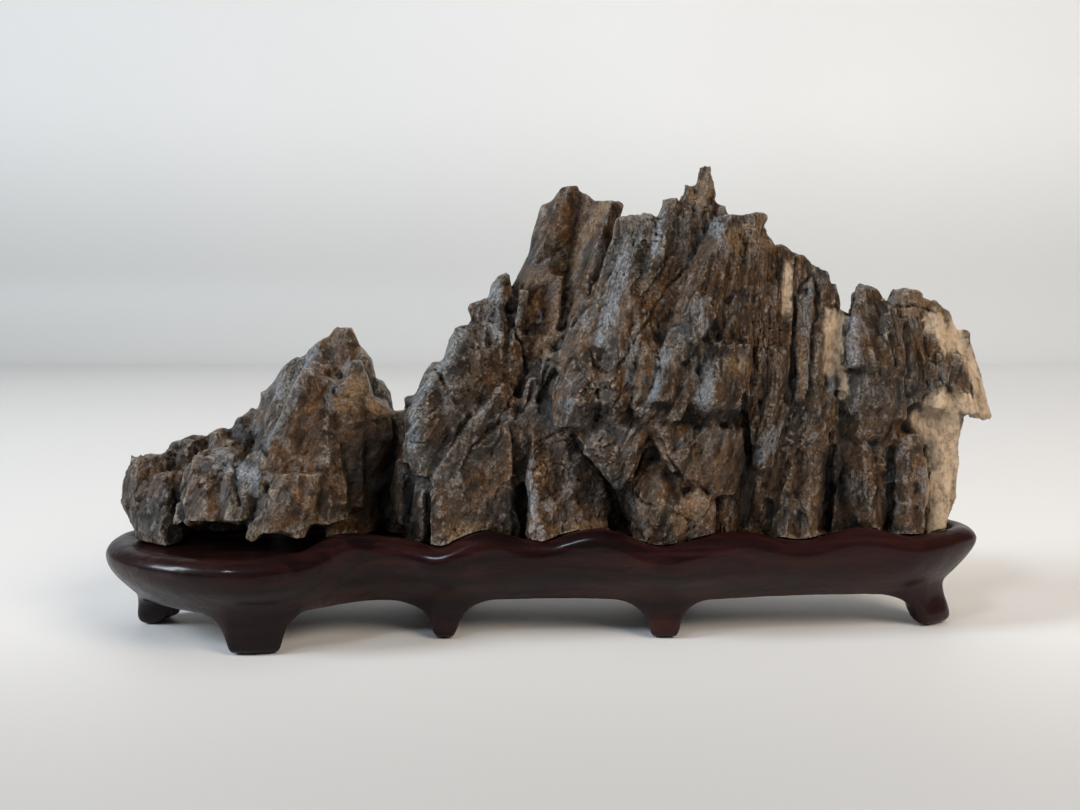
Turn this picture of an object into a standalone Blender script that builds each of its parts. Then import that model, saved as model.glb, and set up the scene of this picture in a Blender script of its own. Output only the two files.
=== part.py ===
"""A mountain-shaped scholar's rock on its carved hardwood stand.

The rock is one stone. It is modelled as the fissured slabs and columns that it weathered into: each rib
is a faceted shard, and the shards are fused into one solid. The stand is one piece of carved wood.

Its front is the side that the stone is shown from. A rib's place is given in front-view millimetres:
x and z in the plane y = 0, as seen from the viewing point EYE, and y is how far forward or back it lies.
"""

import math
import random
from collections import namedtuple

import bmesh
import bpy
from mathutils import Vector

MM = 0.001
EYE = Vector((-2.3, -228.0, 67.0))  # viewing point of the front-view coordinates, mm
ORIGIN = Vector((0.3, -4.6, 0.0))  # bottom centre of the whole piece, mm

# Stand, mm
TRAY_FLOOR = 18.4
SEAT_GAP = 0.3
SEAT = TRAY_FLOOR + SEAT_GAP  # height of the faces that the rock rests on
UNDERSIDE = 7.0
COLUMN_STEP = 4.5

# Rock, mm
SHOULDER = 0.7  # how far a rib's sides lie behind its keel, as a share of its half width
JITTER = 0.08  # how far a corner strays, as a share of the half width
ROCK_VOXEL = 0.8
ROCK_TRIANGLES = 6050

Rib = namedtuple(
    "Rib", "foot tip half front deep keel flat tilt mid", defaults=(0.0, 0.2, 0.0, None)
)
# foot, tip: front-view x, z of its two ends      half: half widths there     front: y of its front there
# deep: thickness there     keel: where its front ridge runs, from -1 (left side) to 1
# flat: half width of the flat on the keel     tilt: degrees that the tip rises to the right
# mid: x, z, half width and, where given, y of the front, halfway up

LEFT_HILL = [
    # back peak and its flanks
    Rib((-47, 18), (-43.3, 61.2), (14, 1.9), (3, 13), (14, 5), keel=0.45, mid=(-46, 49, 9, 7)),
    Rib((-51, 20), (-49, 57.9), (10, 2.6), (2, 11), (13, 6), keel=0.3, tilt=28, mid=(-50, 46, 7, 6)),
    Rib((-56, 20), (-54.6, 54.6), (10, 2.4), (1, 10), (13, 6), keel=-0.2, tilt=40, mid=(-56, 43, 6.5, 5)),
    Rib((-61, 20), (-59.3, 48.6), (8, 2.2), (0, 9), (13, 7), keel=-0.3, tilt=50),
    Rib((-41, 20), (-38.8, 56), (7, 2), (1, 9), (12, 6), keel=0.3, tilt=-50),
    Rib((-37, 20), (-35, 48.8), (5.5, 2), (1, 7), (12, 6), keel=0.2, tilt=-50),
    # its long low shoulder
    Rib((-66, 18), (-64.2, 43.3), (7, 2.5), (-1, 8), (13, 7), keel=-0.3, tilt=30),
    Rib((-71, 18), (-70, 39.6), (6, 2), (-3, 6), (13, 7), keel=0.1, tilt=28),
    Rib((-78, 18), (-76.6, 37.6), (6, 3.3), (-3, 4), (13, 7), keel=0.1, tilt=10),
    Rib((-80, 19), (-81, 35.6), (4.5, 1.6), (-4, 3), (11, 6), keel=-0.2, tilt=25),
    # knobs of the left end
    Rib((-84, 18.5), (-86.3, 33.9), (4.5, 2.4), (-12, -6), (15, 9), keel=-0.1, tilt=4, mid=(-86.2, 26, 5.0)),
    Rib((-85, 19), (-88.6, 32), (2.5, 1.2), (-9, -5), (12, 8), keel=-0.3, tilt=45, mid=(-88.4, 25.6, 3.2)),
    Rib((-82, 18), (-82, 30.5), (3, 2.3), (-15, -10), (12, 9), keel=0.2, mid=(-82, 24.5, 3.6)),
    # front lump over the hollow
    Rib((-71.5, 20.4), (-71.5, 34.3), (6, 3.8), (-22, -17), (18, 14), keel=-0.5, flat=0.4, tilt=-3),
    Rib((-77, 19.6), (-75.6, 32.6), (3, 2), (-19, -15), (16, 12), keel=-0.2, tilt=25),
    Rib((-67.5, 20.4), (-67.3, 31.8), (3.5, 2), (-22.8, -18), (16, 12), keel=0.1),
    # front ridge
    Rib((-55.5, 20), (-50.7, 52.6), (10.5, 1.3), (-22.5, -11), (20, 8), keel=-0.85, flat=0.05, tilt=-12),
    Rib((-60.5, 21), (-57.6, 42.2), (6.5, 1.4), (-22.5, -13.5), (18, 9), keel=-0.8, tilt=20),
    Rib((-64.5, 22), (-63, 35), (4, 1.3), (-22.3, -16.5), (16, 10), keel=-0.4, tilt=35),
    Rib((-51, 20), (-47.6, 50.6), (7, 1.3), (-20, -9.5), (18, 8), keel=0.2, flat=0.35, tilt=-20),
    # tan crown right of it, over the shaded wall
    Rib((-41, 30), (-40.4, 54.6), (4, 0.6), (-6.5, -3), (10, 5), keel=-0.6, mid=(-41, 42, 5, -9.4)),
    Rib((-43, 23), (-42, 50.2), (3.2, 3), (-8.6, -6), (12, 8), keel=-0.7, flat=0.2, tilt=-2,
        mid=(-43.2, 39.5, 3.6, -11.4)),
    Rib((-38, 27), (-36.5, 45.8), (3.8, 2.2), (-3.6, -4), (12, 8), keel=0.1, tilt=-25,
        mid=(-38.2, 41, 4.3, -8.2)),
    Rib((-43.5, 19.5), (-42, 47), (5, 3), (-7.5, -5), (13, 8), keel=-0.6, flat=0.2),
    Rib((-38.5, 19.5), (-37, 44), (5, 3), (-2.5, -2), (12, 8), keel=0.1, tilt=-10),
    Rib((-34.5, 19.5), (-33.8, 43.6), (3, 1.2), (0, 0), (10, 6), keel=0.3, tilt=-20),
    # buttress with its two toes
    Rib((-58.5, 18), (-54, 30.5), (4.8, 3), (-24.5, -21), (16, 12), keel=-0.2, flat=0.3),
    Rib((-63.4, 16.4), (-58.4, 27), (0.9, 2.2), (-24.5, -22), (8, 10), keel=-0.2),
    Rib((-54, 17), (-51, 30.5), (1.8, 2.8), (-23.5, -19.5), (10, 10), keel=0.2),
]

LEFT_SLABS = [
    # front block, with a narrow face to the left and a broad one to the right
    Rib((-27, 30), (-24.2, 53.6), (2.2, 0.8), (-16.5, -10.5), (12, 7), keel=-0.2,
        mid=(-25.4, 42, 5.2, -16.5)),
    Rib((-30, 33), (-29.5, 47), (1.4, 1), (-12, -9.5), (9, 7), keel=0.4),
    # slab behind it
    Rib((-14.5, 36), (-18.4, 61), (7.5, 1.8), (-14.5, -6), (14, 8), keel=-0.7, flat=0.15, tilt=-8,
        mid=(-16, 48, 8, -12.5)),
    Rib((-21, 40), (-20.6, 59), (3, 0.9), (-13, -7), (12, 8), keel=0.5, tilt=14),
    # foot slab, up to the slanting joint
    Rib((-16, 17.5), (-12.5, 45.5), (8.3, 4), (-17.5, -12), (15, 10), keel=-0.75, flat=0.2,
        mid=(-16.6, 30, 8.2, -16.8)),
    Rib((-22.6, 16.3), (-22, 31), (2.4, 2.6), (-18.2, -16.4), (10, 10), keel=-0.1),
    Rib((-23, 30), (-10.5, 47.5), (1.6, 1.7), (-16.6, -11.4), (9, 8), keel=-0.5, flat=0.3),
    Rib((-9.5, 18), (-10.5, 42), (2.8, 3.2), (-13, -10.5), (13, 11), keel=-0.5, flat=0.3),
    # lumps in the shadow at its left
    Rib((-31, 20), (-31.2, 34), (2.2, 1.4), (-9, -8), (12, 10), keel=-0.2, mid=(-31.2, 27, 2.8)),
    Rib((-28, 18.2), (-27.2, 28), (2.2, 1.4), (-13, -13), (9, 9), keel=0.2),
    Rib((-32, 19.5), (-31.2, 43.5), (4, 1.6), (-3, -1), (14, 10), tilt=10),
    Rib((-26, 18), (-24, 50), (6, 2.5), (-11, -7), (16, 10), flat=0.6),
]

SECOND_PEAK = [
    Rib((-9, 26), (3.6, 90.4), (9, 2), (-6, 8), (18, 7), keel=-0.3, flat=0.3, tilt=8, mid=(-3.4, 62, 9, 0)),
    Rib((-6, 50), (-0.6, 86.9), (5, 1.7), (-2, 9), (13, 6), keel=-0.5, tilt=22),
    Rib((2, 55), (7, 88.7), (3.3, 1.8), (1, 8.5), (11, 6), keel=0.3, tilt=-28),
    Rib((4.5, 57), (13.2, 87.1), (2.5, 1.9), (-5, 5), (13, 8), keel=-0.5, flat=0.25, tilt=-8),
    Rib((2, 52), (10.4, 87.2), (2.6, 1.9), (-2, 7), (12, 7), keel=0.2, tilt=-10, mid=(6, 68, 3)),
    Rib((-13, 48), (-10.8, 71.4), (4.5, 1.7), (-8, 1), (13, 8), keel=0.3, flat=0.25, tilt=28),
    Rib((-17, 45), (-13.8, 67), (4, 1), (-8, -2), (13, 8), tilt=20),
    Rib((-17.5, 46), (-16.4, 61.6), (3.5, 1.2), (-7, -3), (10, 7), tilt=-5),
    Rib((-15.1, 59), (-15.8, 66.3), (0.9, 0.8), (-1, -1), (3, 3), mid=(-15.6, 64.8, 1.4)),
    Rib((-9, 66), (-10, 72.9), (1.5, 1.1), (1, 2), (5, 4), tilt=8),
    Rib((-9, 46), (-5.5, 69), (1.6, 0.9), (-6.5, -2), (8, 6), keel=-0.5),
    Rib((-2, 45), (1.5, 72), (1.8, 1.2), (-5, 1.5), (8, 6), keel=0.5),
]

GULLY = [
    Rib((-3, 20), (-1, 60), (9, 5), (-4, -2.5), (15, 12), flat=0.8),
    Rib((-8, 19), (-7, 44), (4, 3.5), (-4, -4), (14, 10), flat=0.8),
    Rib((-8.5, 30), (-3.5, 51), (2.2, 1.2), (-10.5, -7.5), (9, 7), keel=-0.3),
    Rib((-5.5, 36), (-0.5, 55), (1.6, 1), (-9, -6.5), (8, 6), keel=-0.4),
    Rib((-6.4, 20), (-5, 42), (3, 2.4), (-7, -7), (10, 9), keel=0.1),
    Rib((-0.6, 41), (0.6, 56), (2, 1.4), (-8, -6.5), (9, 7), keel=0.3),
    # fin with its narrow left face and broad front
    Rib((2.6, 17.3), (-2.4, 46), (7.2, 1.6), (-16.5, -8), (15, 8), keel=-0.72, flat=0.12,
        mid=(1.4, 31, 6.3, -13.5)),
    Rib((6.5, 17.8), (4, 40), (6, 4.5), (-14.5, -9.5), (14, 9), keel=-0.5, flat=0.4),
    Rib((11, 18.8), (9, 40), (5, 4), (-8.5, -6), (13, 9), keel=-0.3, flat=0.4),
]

MASSIF = [
    Rib((28, 18), (27, 84.5), (13, 6), (-10, -3.5), (21, 11), flat=0.8, mid=(25, 52, 17.5, -15)),
    Rib((26, 56), (29, 82), (13, 7), (-13.5, -4.5), (16, 10), flat=0.85, mid=(27.5, 66, 12, -12)),
    Rib((24, 36), (24, 58), (16, 17), (-13, -15), (18, 18), flat=0.85),
    Rib((13, 35), (11, 50), (4.5, 7.5), (-14, -13.5), (15, 14), flat=0.7),
    Rib((42, 18), (43, 74), (6, 4), (-9.5, -5), (16, 11), flat=0.8, mid=(42, 48, 6, -12)),
    # left edge: ragged grey slivers, the tan face and the long lit band
    Rib((4, 40.5), (4.3, 63), (3, 0.8), (-16, -13.5), (13, 11), keel=0.2, mid=(2.5, 47.5, 2.5, -15.5)),
    Rib((5, 43), (7, 59), (2.5, 2), (-17, -15), (12, 10), keel=-0.2),
    Rib((8.5, 47), (8.8, 67), (4, 2), (-17, -13), (12, 9), keel=-0.1, mid=(7.8, 57.5, 4.3, -16)),
    Rib((9.7, 57), (15.6, 83.8), (2, 1.7), (-17.2, -8), (12, 9), keel=0.7, mid=(12, 71, 2.7, -14)),
    Rib((13, 50), (17, 78), (4, 2.6), (-18, -10.5), (12, 9), keel=0.1, mid=(14.8, 66, 3.4, -16.2)),
    # crown
    Rib((18, 62), (18.6, 84.3), (3.6, 3.2), (-14.5, -7), (13, 9), keel=-0.3, flat=0.3, tilt=4),
    Rib((18.5, 60), (24.4, 87.4), (3.2, 1.6), (-15.4, -5.5), (12, 8), keel=0.45, tilt=14,
        mid=(21.5, 76, 2.8, -10.5)),
    Rib((31, 72), (31.8, 94), (3.2, 1.2), (-6, -2), (10, 3), mid=(32, 86.5, 2.1, -3)),
    Rib((28.3, 80), (28.3, 90.6), (2, 0.9), (-4, -1.5), (7, 3)),
    Rib((34.5, 70), (35.3, 86.2), (3, 1), (-7, -3.5), (10, 6), keel=0.2, tilt=-40),
    Rib((41, 60), (41.7, 84.6), (4.4, 2.3), (-11, -6.5), (13, 8), keel=-0.2, flat=0.35, tilt=-12),
    Rib((44, 58), (45.1, 80.6), (2.8, 1.1), (-9, -5.5), (11, 7), tilt=-50),
    # broad faces, each sweeping down to the left
    Rib((14, 48), (23, 72), (4.2, 3.4), (-17.4, -12.5), (12, 9), keel=-0.3, flat=0.3,
        mid=(18, 59, 4, -17)),
    Rib((17.4, 54), (28.5, 86.6), (4.6, 3.6), (-18.2, -5), (13, 8), keel=-0.75, flat=0.12,
        mid=(23.4, 71, 5, -13.4)),
    Rib((27, 55), (37.4, 84.4), (5.4, 2.4), (-18.4, -7.4), (13, 8), keel=-0.3, flat=0.05, tilt=6,
        mid=(32.6, 71, 5.4, -14.8)),
    Rib((37.5, 54), (42.4, 79), (4.2, 3), (-15.4, -8), (12, 8), keel=-0.5, flat=0.2,
        mid=(40.6, 66, 4.2, -12.6)),
    # lower strips, the light ones faced to the left
    Rib((22.6, 45.5), (27, 61.5), (2.4, 1.5), (-20, -17), (9, 7), keel=0.25),
    Rib((17.6, 44), (20.6, 58), (2.2, 1.5), (-19, -17), (8, 7), keel=-0.2),
    Rib((23.4, 38.6), (24.8, 50), (3.6, 3), (-16.8, -17.2), (9, 9), keel=0.2),
    Rib((25.6, 41.6), (29.4, 50.6), (1.7, 0.9), (-19.6, -17.6), (8, 7), keel=0.5),
    Rib((28, 50), (33, 64), (1.3, 1.2), (-18, -17), (7, 7), keel=-0.4),
    Rib((29.6, 58.6), (31.8, 67.6), (2.1, 1.3), (-18.6, -16), (8, 7), keel=0.3),
    # square block with its lit left face
    Rib((34, 41), (35.2, 54.8), (6, 4.8), (-16, -17), (13, 11), keel=-0.12, flat=0.04,
        mid=(34.8, 45.3, 5.7, -20.6)),
    # row of lumps
    Rib((5.6, 40.4), (5.2, 52), (2.8, 2), (-16.5, -15), (9, 8), mid=(6.2, 46, 3.5, -18.4)),
    Rib((13.5, 40), (13.6, 51.4), (2.4, 2), (-17, -16.5), (9, 8), mid=(13.5, 45.5, 3.6, -19.4)),
    Rib((19.6, 40.2), (20, 48.6), (2, 1.8), (-17.5, -17.5), (9, 8), mid=(19.6, 44, 2.8, -19.6)),
    # left jaw, which hangs to a point
    Rib((14.4, 27.4), (11, 41), (0.7, 6.8), (-18, -15.5), (8, 13), keel=-0.25, mid=(12.4, 35, 5, -18.8)),
    Rib((16, 29), (16, 41), (1.2, 4.4), (-18, -17.5), (9, 11), keel=0.2, flat=0.2),
    # right jaw, undercut along its left side
    Rib((30.2, 27.8), (26.6, 40.2), (2.2, 5.4), (-17.8, -18), (11, 11), keel=-0.6, flat=0.1,
        mid=(27.6, 34, 4.4, -20)),
    Rib((36, 26), (35.6, 39.7), (3.6, 4.8), (-15.5, -17.6), (11, 11), keel=-0.3, flat=0.4,
        mid=(35.8, 34, 4.6, -17.4)),
    # chin
    Rib((24.5, 16), (23, 33), (6, 5), (-16.3, -14.5), (16, 15), keel=-0.2, flat=0.15,
        mid=(25.3, 24, 8.3, -19)),
    Rib((20.6, 15.9), (19, 31), (2.2, 1.6), (-16, -15), (9, 9), mid=(19.2, 23, 2.7, -17)),
    Rib((31.5, 17.5), (31, 29), (2.7, 3.1), (-15, -15.5), (9, 9), mid=(31.5, 23, 3.4, -17)),
    Rib((37, 18), (37.5, 32), (3, 3.5), (-11, -12.5), (9, 9)),
]

COLUMNS = [
    Rib((52, 19), (52, 68), (12, 5), (-5.5, -3), (15, 10), flat=0.8, mid=(53, 45, 11, -6)),
    # hanging blade and the slivers beside it
    Rib((44.4, 31.6), (46.6, 57), (2, 3.2), (-15.4, -11.5), (10, 8), keel=0.0, flat=0.1,
        mid=(45.8, 42, 3.2, -14.6)),
    Rib((42.5, 36), (43, 50), (0.8, 1.1), (-13, -11.5), (7, 7)),
    Rib((43.5, 27), (44.5, 36), (1.9, 1.9), (-11, -11), (8, 8)),
    # pinnacles, each lower than the last
    Rib((46, 40), (47.3, 78.4), (2.9, 2.3), (-11.5, -5), (13, 8), keel=0.3, flat=0.1, tilt=-8),
    Rib((44, 52), (45.4, 70), (2.1, 1.5), (-12, -8.5), (9, 8), keel=-0.2),
    Rib((49, 55), (49.3, 74), (1.1, 0.9), (-9, -5.5), (8, 7), flat=0.4),
    Rib((51.2, 38), (51.7, 76.6), (1.9, 1.5), (-10.5, -4.5), (11, 8), keel=-0.5, tilt=-12),
    Rib((53.7, 45), (54.1, 74.3), (1.5, 0.9), (-9, -4), (11, 7), keel=0.2, tilt=-22),
    Rib((57, 40), (56.7, 73.1), (3, 0.8), (-9.3, -4), (11, 7), keel=-0.4, tilt=-40,
        mid=(57.4, 64.5, 3.2, -6.5)),
    Rib((59.3, 48), (59.5, 69.3), (2, 1), (-8, -4), (9, 6), tilt=-52),
    # lower columns and their toes
    Rib((55.5, 24), (56, 60), (2.4, 2), (-10, -8.7), (12, 10), keel=-0.3),
    Rib((52.5, 36), (52.8, 68), (2, 2.2), (-10.8, -7.5), (11, 9), keel=-0.2, flat=0.4),
    Rib((50, 17.3), (50.5, 42), (2.5, 2), (-13.2, -10.5), (11, 10), keel=-0.2, mid=(49.8, 24, 2.9)),
    Rib((55.2, 17.8), (54.6, 36), (2.3, 2.3), (-12.8, -10.7), (11, 10), mid=(55, 24, 3, -13.4)),
    Rib((47, 25), (49, 45), (2.3, 2), (-11.5, -11), (9, 9), keel=-0.3),
    Rib((60.7, 19), (60.6, 42), (2.5, 2.2), (-7, -6.5), (10, 9)),
]

RIGHT_END = [
    Rib((70, 19), (72, 63), (12, 8), (-4, -2.5), (13, 9), flat=0.8, mid=(72, 40, 12.5, -4.5)),
    # block with its dark left face, over a ledge
    Rib((66.3, 53), (66.2, 69.9), (4.6, 2.5), (-12, -6.5), (13, 8), keel=-0.55, flat=0.3, tilt=-6,
        mid=(66.3, 62, 4.8, -10)),
    Rib((68.8, 52.8), (70, 66), (2.6, 1.6), (-11.6, -7.5), (9, 8)),
    Rib((67.3, 38), (68, 53), (5, 5.3), (-9.8, -9.2), (13, 11), keel=-0.1, flat=0.5,
        mid=(68, 46, 5.8, -10.6)),
    Rib((63.5, 36), (63, 52), (1.8, 1.5), (-8, -7.5), (9, 8), keel=-0.6),
    Rib((73, 42), (72.6, 63), (2.4, 2), (-9.7, -6.5), (10, 8), keel=-0.3),
    # lower columns
    Rib((68.4, 18.1), (65, 37), (2.5, 2.4), (-10.6, -9), (11, 10), keel=0.1, mid=(66.6, 27.5, 3.9, -11.6)),
    Rib((63.7, 18), (63, 36), (2.4, 2.3), (-8.5, -8.5), (9, 9)),
    Rib((76.2, 18.4), (75.6, 39), (2.9, 2.3), (-11, -9), (13, 11), keel=-0.1, mid=(75.6, 28, 4.4, -12.8)),
    Rib((72, 18), (71.4, 41), (2.6, 2.6), (-8.2, -8), (10, 9)),
    Rib((69.6, 29), (68.6, 43), (2.6, 2.6), (-8.8, -8.6), (9, 9)),
    Rib((81, 19.2), (82.8, 45), (3.3, 4.2), (-8, -5), (15, 11), keel=0.2, flat=0.45, mid=(81.9, 31, 4)),
    # crown and the beak that overhangs the stand
    Rib((75.5, 45), (74.7, 69), (5, 2.6), (-8, -3), (15, 10), keel=-0.4, flat=0.3, tilt=-14),
    Rib((80, 44), (79.6, 67.2), (4.4, 1.9), (-7, -2), (15, 10), keel=0.1, flat=0.3, tilt=-20,
        mid=(80.5, 56, 5.3)),
    Rib((84.5, 44), (82.4, 64), (3.3, 1), (-6, -2), (13, 8), keel=0.4, tilt=-60, mid=(84.2, 54, 3.4)),
    Rib((91, 41.9), (85.2, 61), (1.7, 1.1), (-3, -2), (6, 8), keel=0.3, mid=(88.2, 50, 2.4)),
    Rib((87, 43.2), (84.3, 55), (3.5, 3), (-6, -4), (11, 10)),
]

FRONT_GROUPS = [LEFT_HILL, LEFT_SLABS, SECOND_PEAK, GULLY, MASSIF, COLUMNS, RIGHT_END]

# Back of the stone, one buttress a row: x of its foot, x and height of its crest, and y of its foot's back
BACK = [
    (-82, -81, 27, 4), (-77, -75, 33, 9), (-70, -67, 38, 13), (-60, -56, 46, 15), (-52, -48, 54, 17),
    (-43, -41, 53, 15), (-36, -35, 43, 16), (-28, -24, 47, 14), (-21, -16, 55, 16), (-14, -8, 66, 17),
    (-5, 2, 81, 16), (5, 11, 79, 17.5), (14, 19, 77, 15.5), (23, 28, 83, 17), (33, 37, 79, 16),
    (42, 46, 71, 15.5), (51, 54, 66, 14), (60, 62, 62, 13.5), (69, 70, 64, 12.5), (78, 77, 59, 8),
]


# ---------------------------------------------------------------- rock

def seen(x, z, y):
    """The point at depth y that the viewing point sees at x, z of the front plane."""
    reach = 1 - y / EYE.y
    return Vector((EYE.x + (x - EYE.x) * reach, y, EYE.z + (z - EYE.z) * reach))


def section(centre, half, deep, keel, flat, tilt, rng):
    """The six corners of a rib's cross-section: sides, front ridge and narrower back."""
    across = Vector((math.cos(math.radians(tilt)), 0, math.sin(math.radians(tilt))))
    side = min(SHOULDER * half, 0.5 * deep)
    left_keel, right_keel = max(keel - flat, -0.92), min(keel + flat, 0.92)
    outline = [(-1, side), (left_keel, 0), (right_keel, 0), (1, side), (0.65, deep), (-0.65, deep)]
    corners = []
    for a, y in outline:
        stray = Vector([rng.uniform(-1, 1) * JITTER * half for _ in range(3)])
        corners.append(centre + across * (a * half) + Vector((0, y, 0)) + stray)
    return corners


def on_seat(corners):
    """A foot that comes near the tray is set down on it."""
    lowest = min(c.z for c in corners)
    if lowest < SEAT + 2.6:
        for c in corners:
            c.z = SEAT
    return corners


def add_rib(bm, rib, rng):
    """Adds the convex shard through a rib's three cross-sections."""
    (xf, zf), (xt, zt) = rib.foot, rib.tip
    mean_half, mean_front = sum(rib.half) / 2, sum(rib.front) / 2
    mid = rib.mid or ((xf + xt) / 2, (zf + zt) / 2, 1.06 * mean_half)
    mid_y = mid[3] if len(mid) > 3 else mean_front - 0.04 * mean_half
    levels = [
        (seen(xf, zf, rib.front[0]), rib.half[0], rib.deep[0], 0.0),
        (seen(mid[0], mid[1], mid_y), mid[2], sum(rib.deep) / 2, rib.tilt / 3),
        (seen(xt, zt, rib.front[1]), rib.half[1], rib.deep[1], rib.tilt),
    ]
    corners = []
    for centre, half, deep, tilt in levels:
        corners += section(centre, half, deep, rib.keel, rib.flat, tilt, rng)
    on_seat_corners = on_seat(corners[:6]) + corners[6:]
    verts = [bm.verts.new((c - ORIGIN) * MM) for c in on_seat_corners]
    hull = bmesh.ops.convex_hull(bm, input=verts)
    inside = {v for v in hull["geom_interior"] if isinstance(v, bmesh.types.BMVert)}
    bmesh.ops.delete(bm, geom=list(inside), context="VERTS")


def back_ribs(rng):
    """Buttresses of the back, with crests behind the front's skyline, and the blocks stacked on them."""
    for foot_x, crest_x, crest, back in BACK:
        front = rng.uniform(-1, 2)
        rise = crest - SEAT
        half = rng.uniform(4, 6)
        yield Rib((foot_x, SEAT), (crest_x, crest), (half, rng.uniform(1.6, 3)), (front, front + 4),
                  (back - front - 2, rng.uniform(5, 8)), tilt=rng.uniform(-25, 25),
                  mid=((foot_x + crest_x) / 2, SEAT + rise * rng.uniform(0.4, 0.6), half * 0.9))
        for start in (0.0, 0.22, 0.45):
            low = start + rng.uniform(-0.05, 0.1)
            high = low + rng.uniform(0.22, 0.42)
            x = min(max(foot_x + (crest_x - foot_x) * low + rng.uniform(-5, 5), -80), 76)
            lean = rise * (high - low) * rng.uniform(0.0, 0.5)
            reach = (back - front) * (1 - 0.55 * max(low, 0)) + rng.uniform(-1, 0.5)
            yield Rib((x, SEAT + rise * low), (x + lean, SEAT + rise * high),
                      (rng.uniform(3, 6), rng.uniform(1, 3)), (front + 1, front + 2),
                      (reach, reach * rng.uniform(0.55, 0.8)), tilt=rng.uniform(-40, 40))


def shards_mesh():
    bm = bmesh.new()
    rng = random.Random(7)
    for group in FRONT_GROUPS:
        for rib in group:
            add_rib(bm, rib, rng)
    for rib in back_ribs(rng):
        add_rib(bm, rib, rng)
    mesh = bpy.data.meshes.new("rock_shards")
    bm.to_mesh(mesh)
    bm.free()
    return mesh


def largest_island(mesh):
    """Leaves only the biggest connected body of the mesh."""
    bm = bmesh.new()
    bm.from_mesh(mesh)
    unseen, islands = set(bm.verts), []
    while unseen:
        stack = [unseen.pop()]
        island = set(stack)
        while stack:
            for edge in stack.pop().link_edges:
                for v in edge.verts:
                    if v in unseen:
                        unseen.remove(v)
                        island.add(v)
                        stack.append(v)
        islands.append(island)
    islands.sort(key=len)
    for island in islands[:-1]:
        bmesh.ops.delete(bm, geom=list(island), context="VERTS")
    bm.to_mesh(mesh)
    bm.free()


def applied(obj):
    """The object's mesh with its modifiers applied; the object is removed."""
    graph = bpy.context.evaluated_depsgraph_get()
    mesh = bpy.data.meshes.new_from_object(obj.evaluated_get(graph))
    bpy.data.objects.remove(obj)
    return mesh


def make_rock(collection, clearance):
    shards = bpy.data.objects.new("rock_shards", shards_mesh())
    collection.objects.link(shards)
    fuse = shards.modifiers.new("fuse", "REMESH")
    fuse.mode = "VOXEL"
    fuse.voxel_size = ROCK_VOXEL * MM
    mesh = applied(shards)
    largest_island(mesh)
    mesh.name = "rock"
    rock = bpy.data.objects.new("rock", mesh)
    collection.objects.link(rock)
    thin = rock.modifiers.new("facets", "DECIMATE")
    thin.ratio = ROCK_TRIANGLES / (2 * len(mesh.polygons))
    thin.use_collapse_triangulate = True
    fit = rock.modifiers.new("fit_to_tray", "BOOLEAN")
    fit.operation = "DIFFERENCE"
    fit.solver = "MANIFOLD"
    fit.object = clearance
    return rock


# ---------------------------------------------------------------- stand

# Outer line of the rim in plan, x and y in mm, from the left end along the front and back
RIM_PLAN = [
    (-90.6, -4.5), (-88.4, -14), (-80.5, -22.5), (-69, -29), (-57, -31.2), (-46, -28), (-37, -21),
    (-29, -19.8), (-20.5, -21), (-10, -19.3), (2, -18.4), (12, -19.2), (23, -20.6), (34, -18.8),
    (46, -16.8), (58, -15.8), (70, -15), (80, -12), (87, -7), (88.9, 0), (86, 8.5), (76, 14.5),
    (60, 18), (40, 20), (18, 21.2), (-5, 21.8), (-28, 22), (-50, 21.6), (-68, 19), (-79.5, 13), (-87.5, 4.5),
]
# Height of the rim's crest along that line: x, front or back, height
CREST_FRONT = [
    (-92, 19.2), (-80, 19.1), (-57, 19.1), (-46, 19.8), (-38, 22.3), (-31, 21.0), (-23, 19.2), (-12, 22.0),
    (-3, 20.0), (9, 22.4), (21, 19.1), (37, 21.8), (50, 19.5), (61, 22.0), (74, 20.0), (86, 20.8), (89, 20.4),
]
CREST_BACK = [
    (-92, 19.2), (-60, 21.5), (-35, 19.8), (-10, 22), (15, 20), (40, 22), (65, 20), (80, 21.5), (89, 20.4),
]
# Feet: x and y of each on the rim line, the width of its sole, and how far its fillets run up to the apron
FEET = [
    (-90.4, 0, 12.5, 12.0), (-56, -31, 13.0, 8.5), (-21.3, -21, 6.6, 8.0), (22.5, -20.5, 7.2, 8.0),
    (85, -9, 14.0, 13.0), (26, 20.8, 7.0, 8.0), (-24, 22, 7.0, 8.0), (-66.5, 19.2, 8.0, 8.0),
]
CREST_INSET = 3.8
# Rings of the rim's cross-section: inset from the rim line, and height. "crest" counts from the crest.
RINGS = [
    (5.7, "floor", 0.0), (4.8, "crest", -0.4), (CREST_INSET, "crest", 0.0), (2.3, "crest", -0.3),
    (0.9, "crest", -1.2), (0.0, "crest", -2.9), (0.9, "wall", 13.3), (3.4, "wall", 10.6), (5.4, "wall", 8.4),
]
UNDERCUT = (70, 86, 1.9)  # x where the right end's wall begins to lean in, where it is full, and how far in
# Apron edge, sole and inner side of the feet: inset, and how far a foot is set out from it; height, and
# how far it drops at a foot
UNDER_RINGS = [
    (6.2, 0.9, UNDERSIDE + 0.8, UNDERSIDE - 2.2), (7.2, 2.6, UNDERSIDE, UNDERSIDE),
    (8.6, -2.4, UNDERSIDE, UNDERSIDE), (9.8, -3.4, UNDERSIDE, 0.0),
]


def closed_curve(points, step):
    """Points about step apart on the smooth closed curve through the given ones."""
    line = []
    count = len(points)
    for i in range(count):
        p0, p1, p2, p3 = (Vector(points[(i + k) % count]) for k in (-1, 0, 1, 2))
        pieces = max(1, round((p2 - p1).length / step))
        for k in range(pieces):
            t = k / pieces
            line.append(0.5 * (2 * p1 + (p2 - p0) * t + (2 * p0 - 5 * p1 + 4 * p2 - p3) * t * t
                               + (3 * p1 - p0 - 3 * p2 + p3) * t ** 3))
    return line


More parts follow.
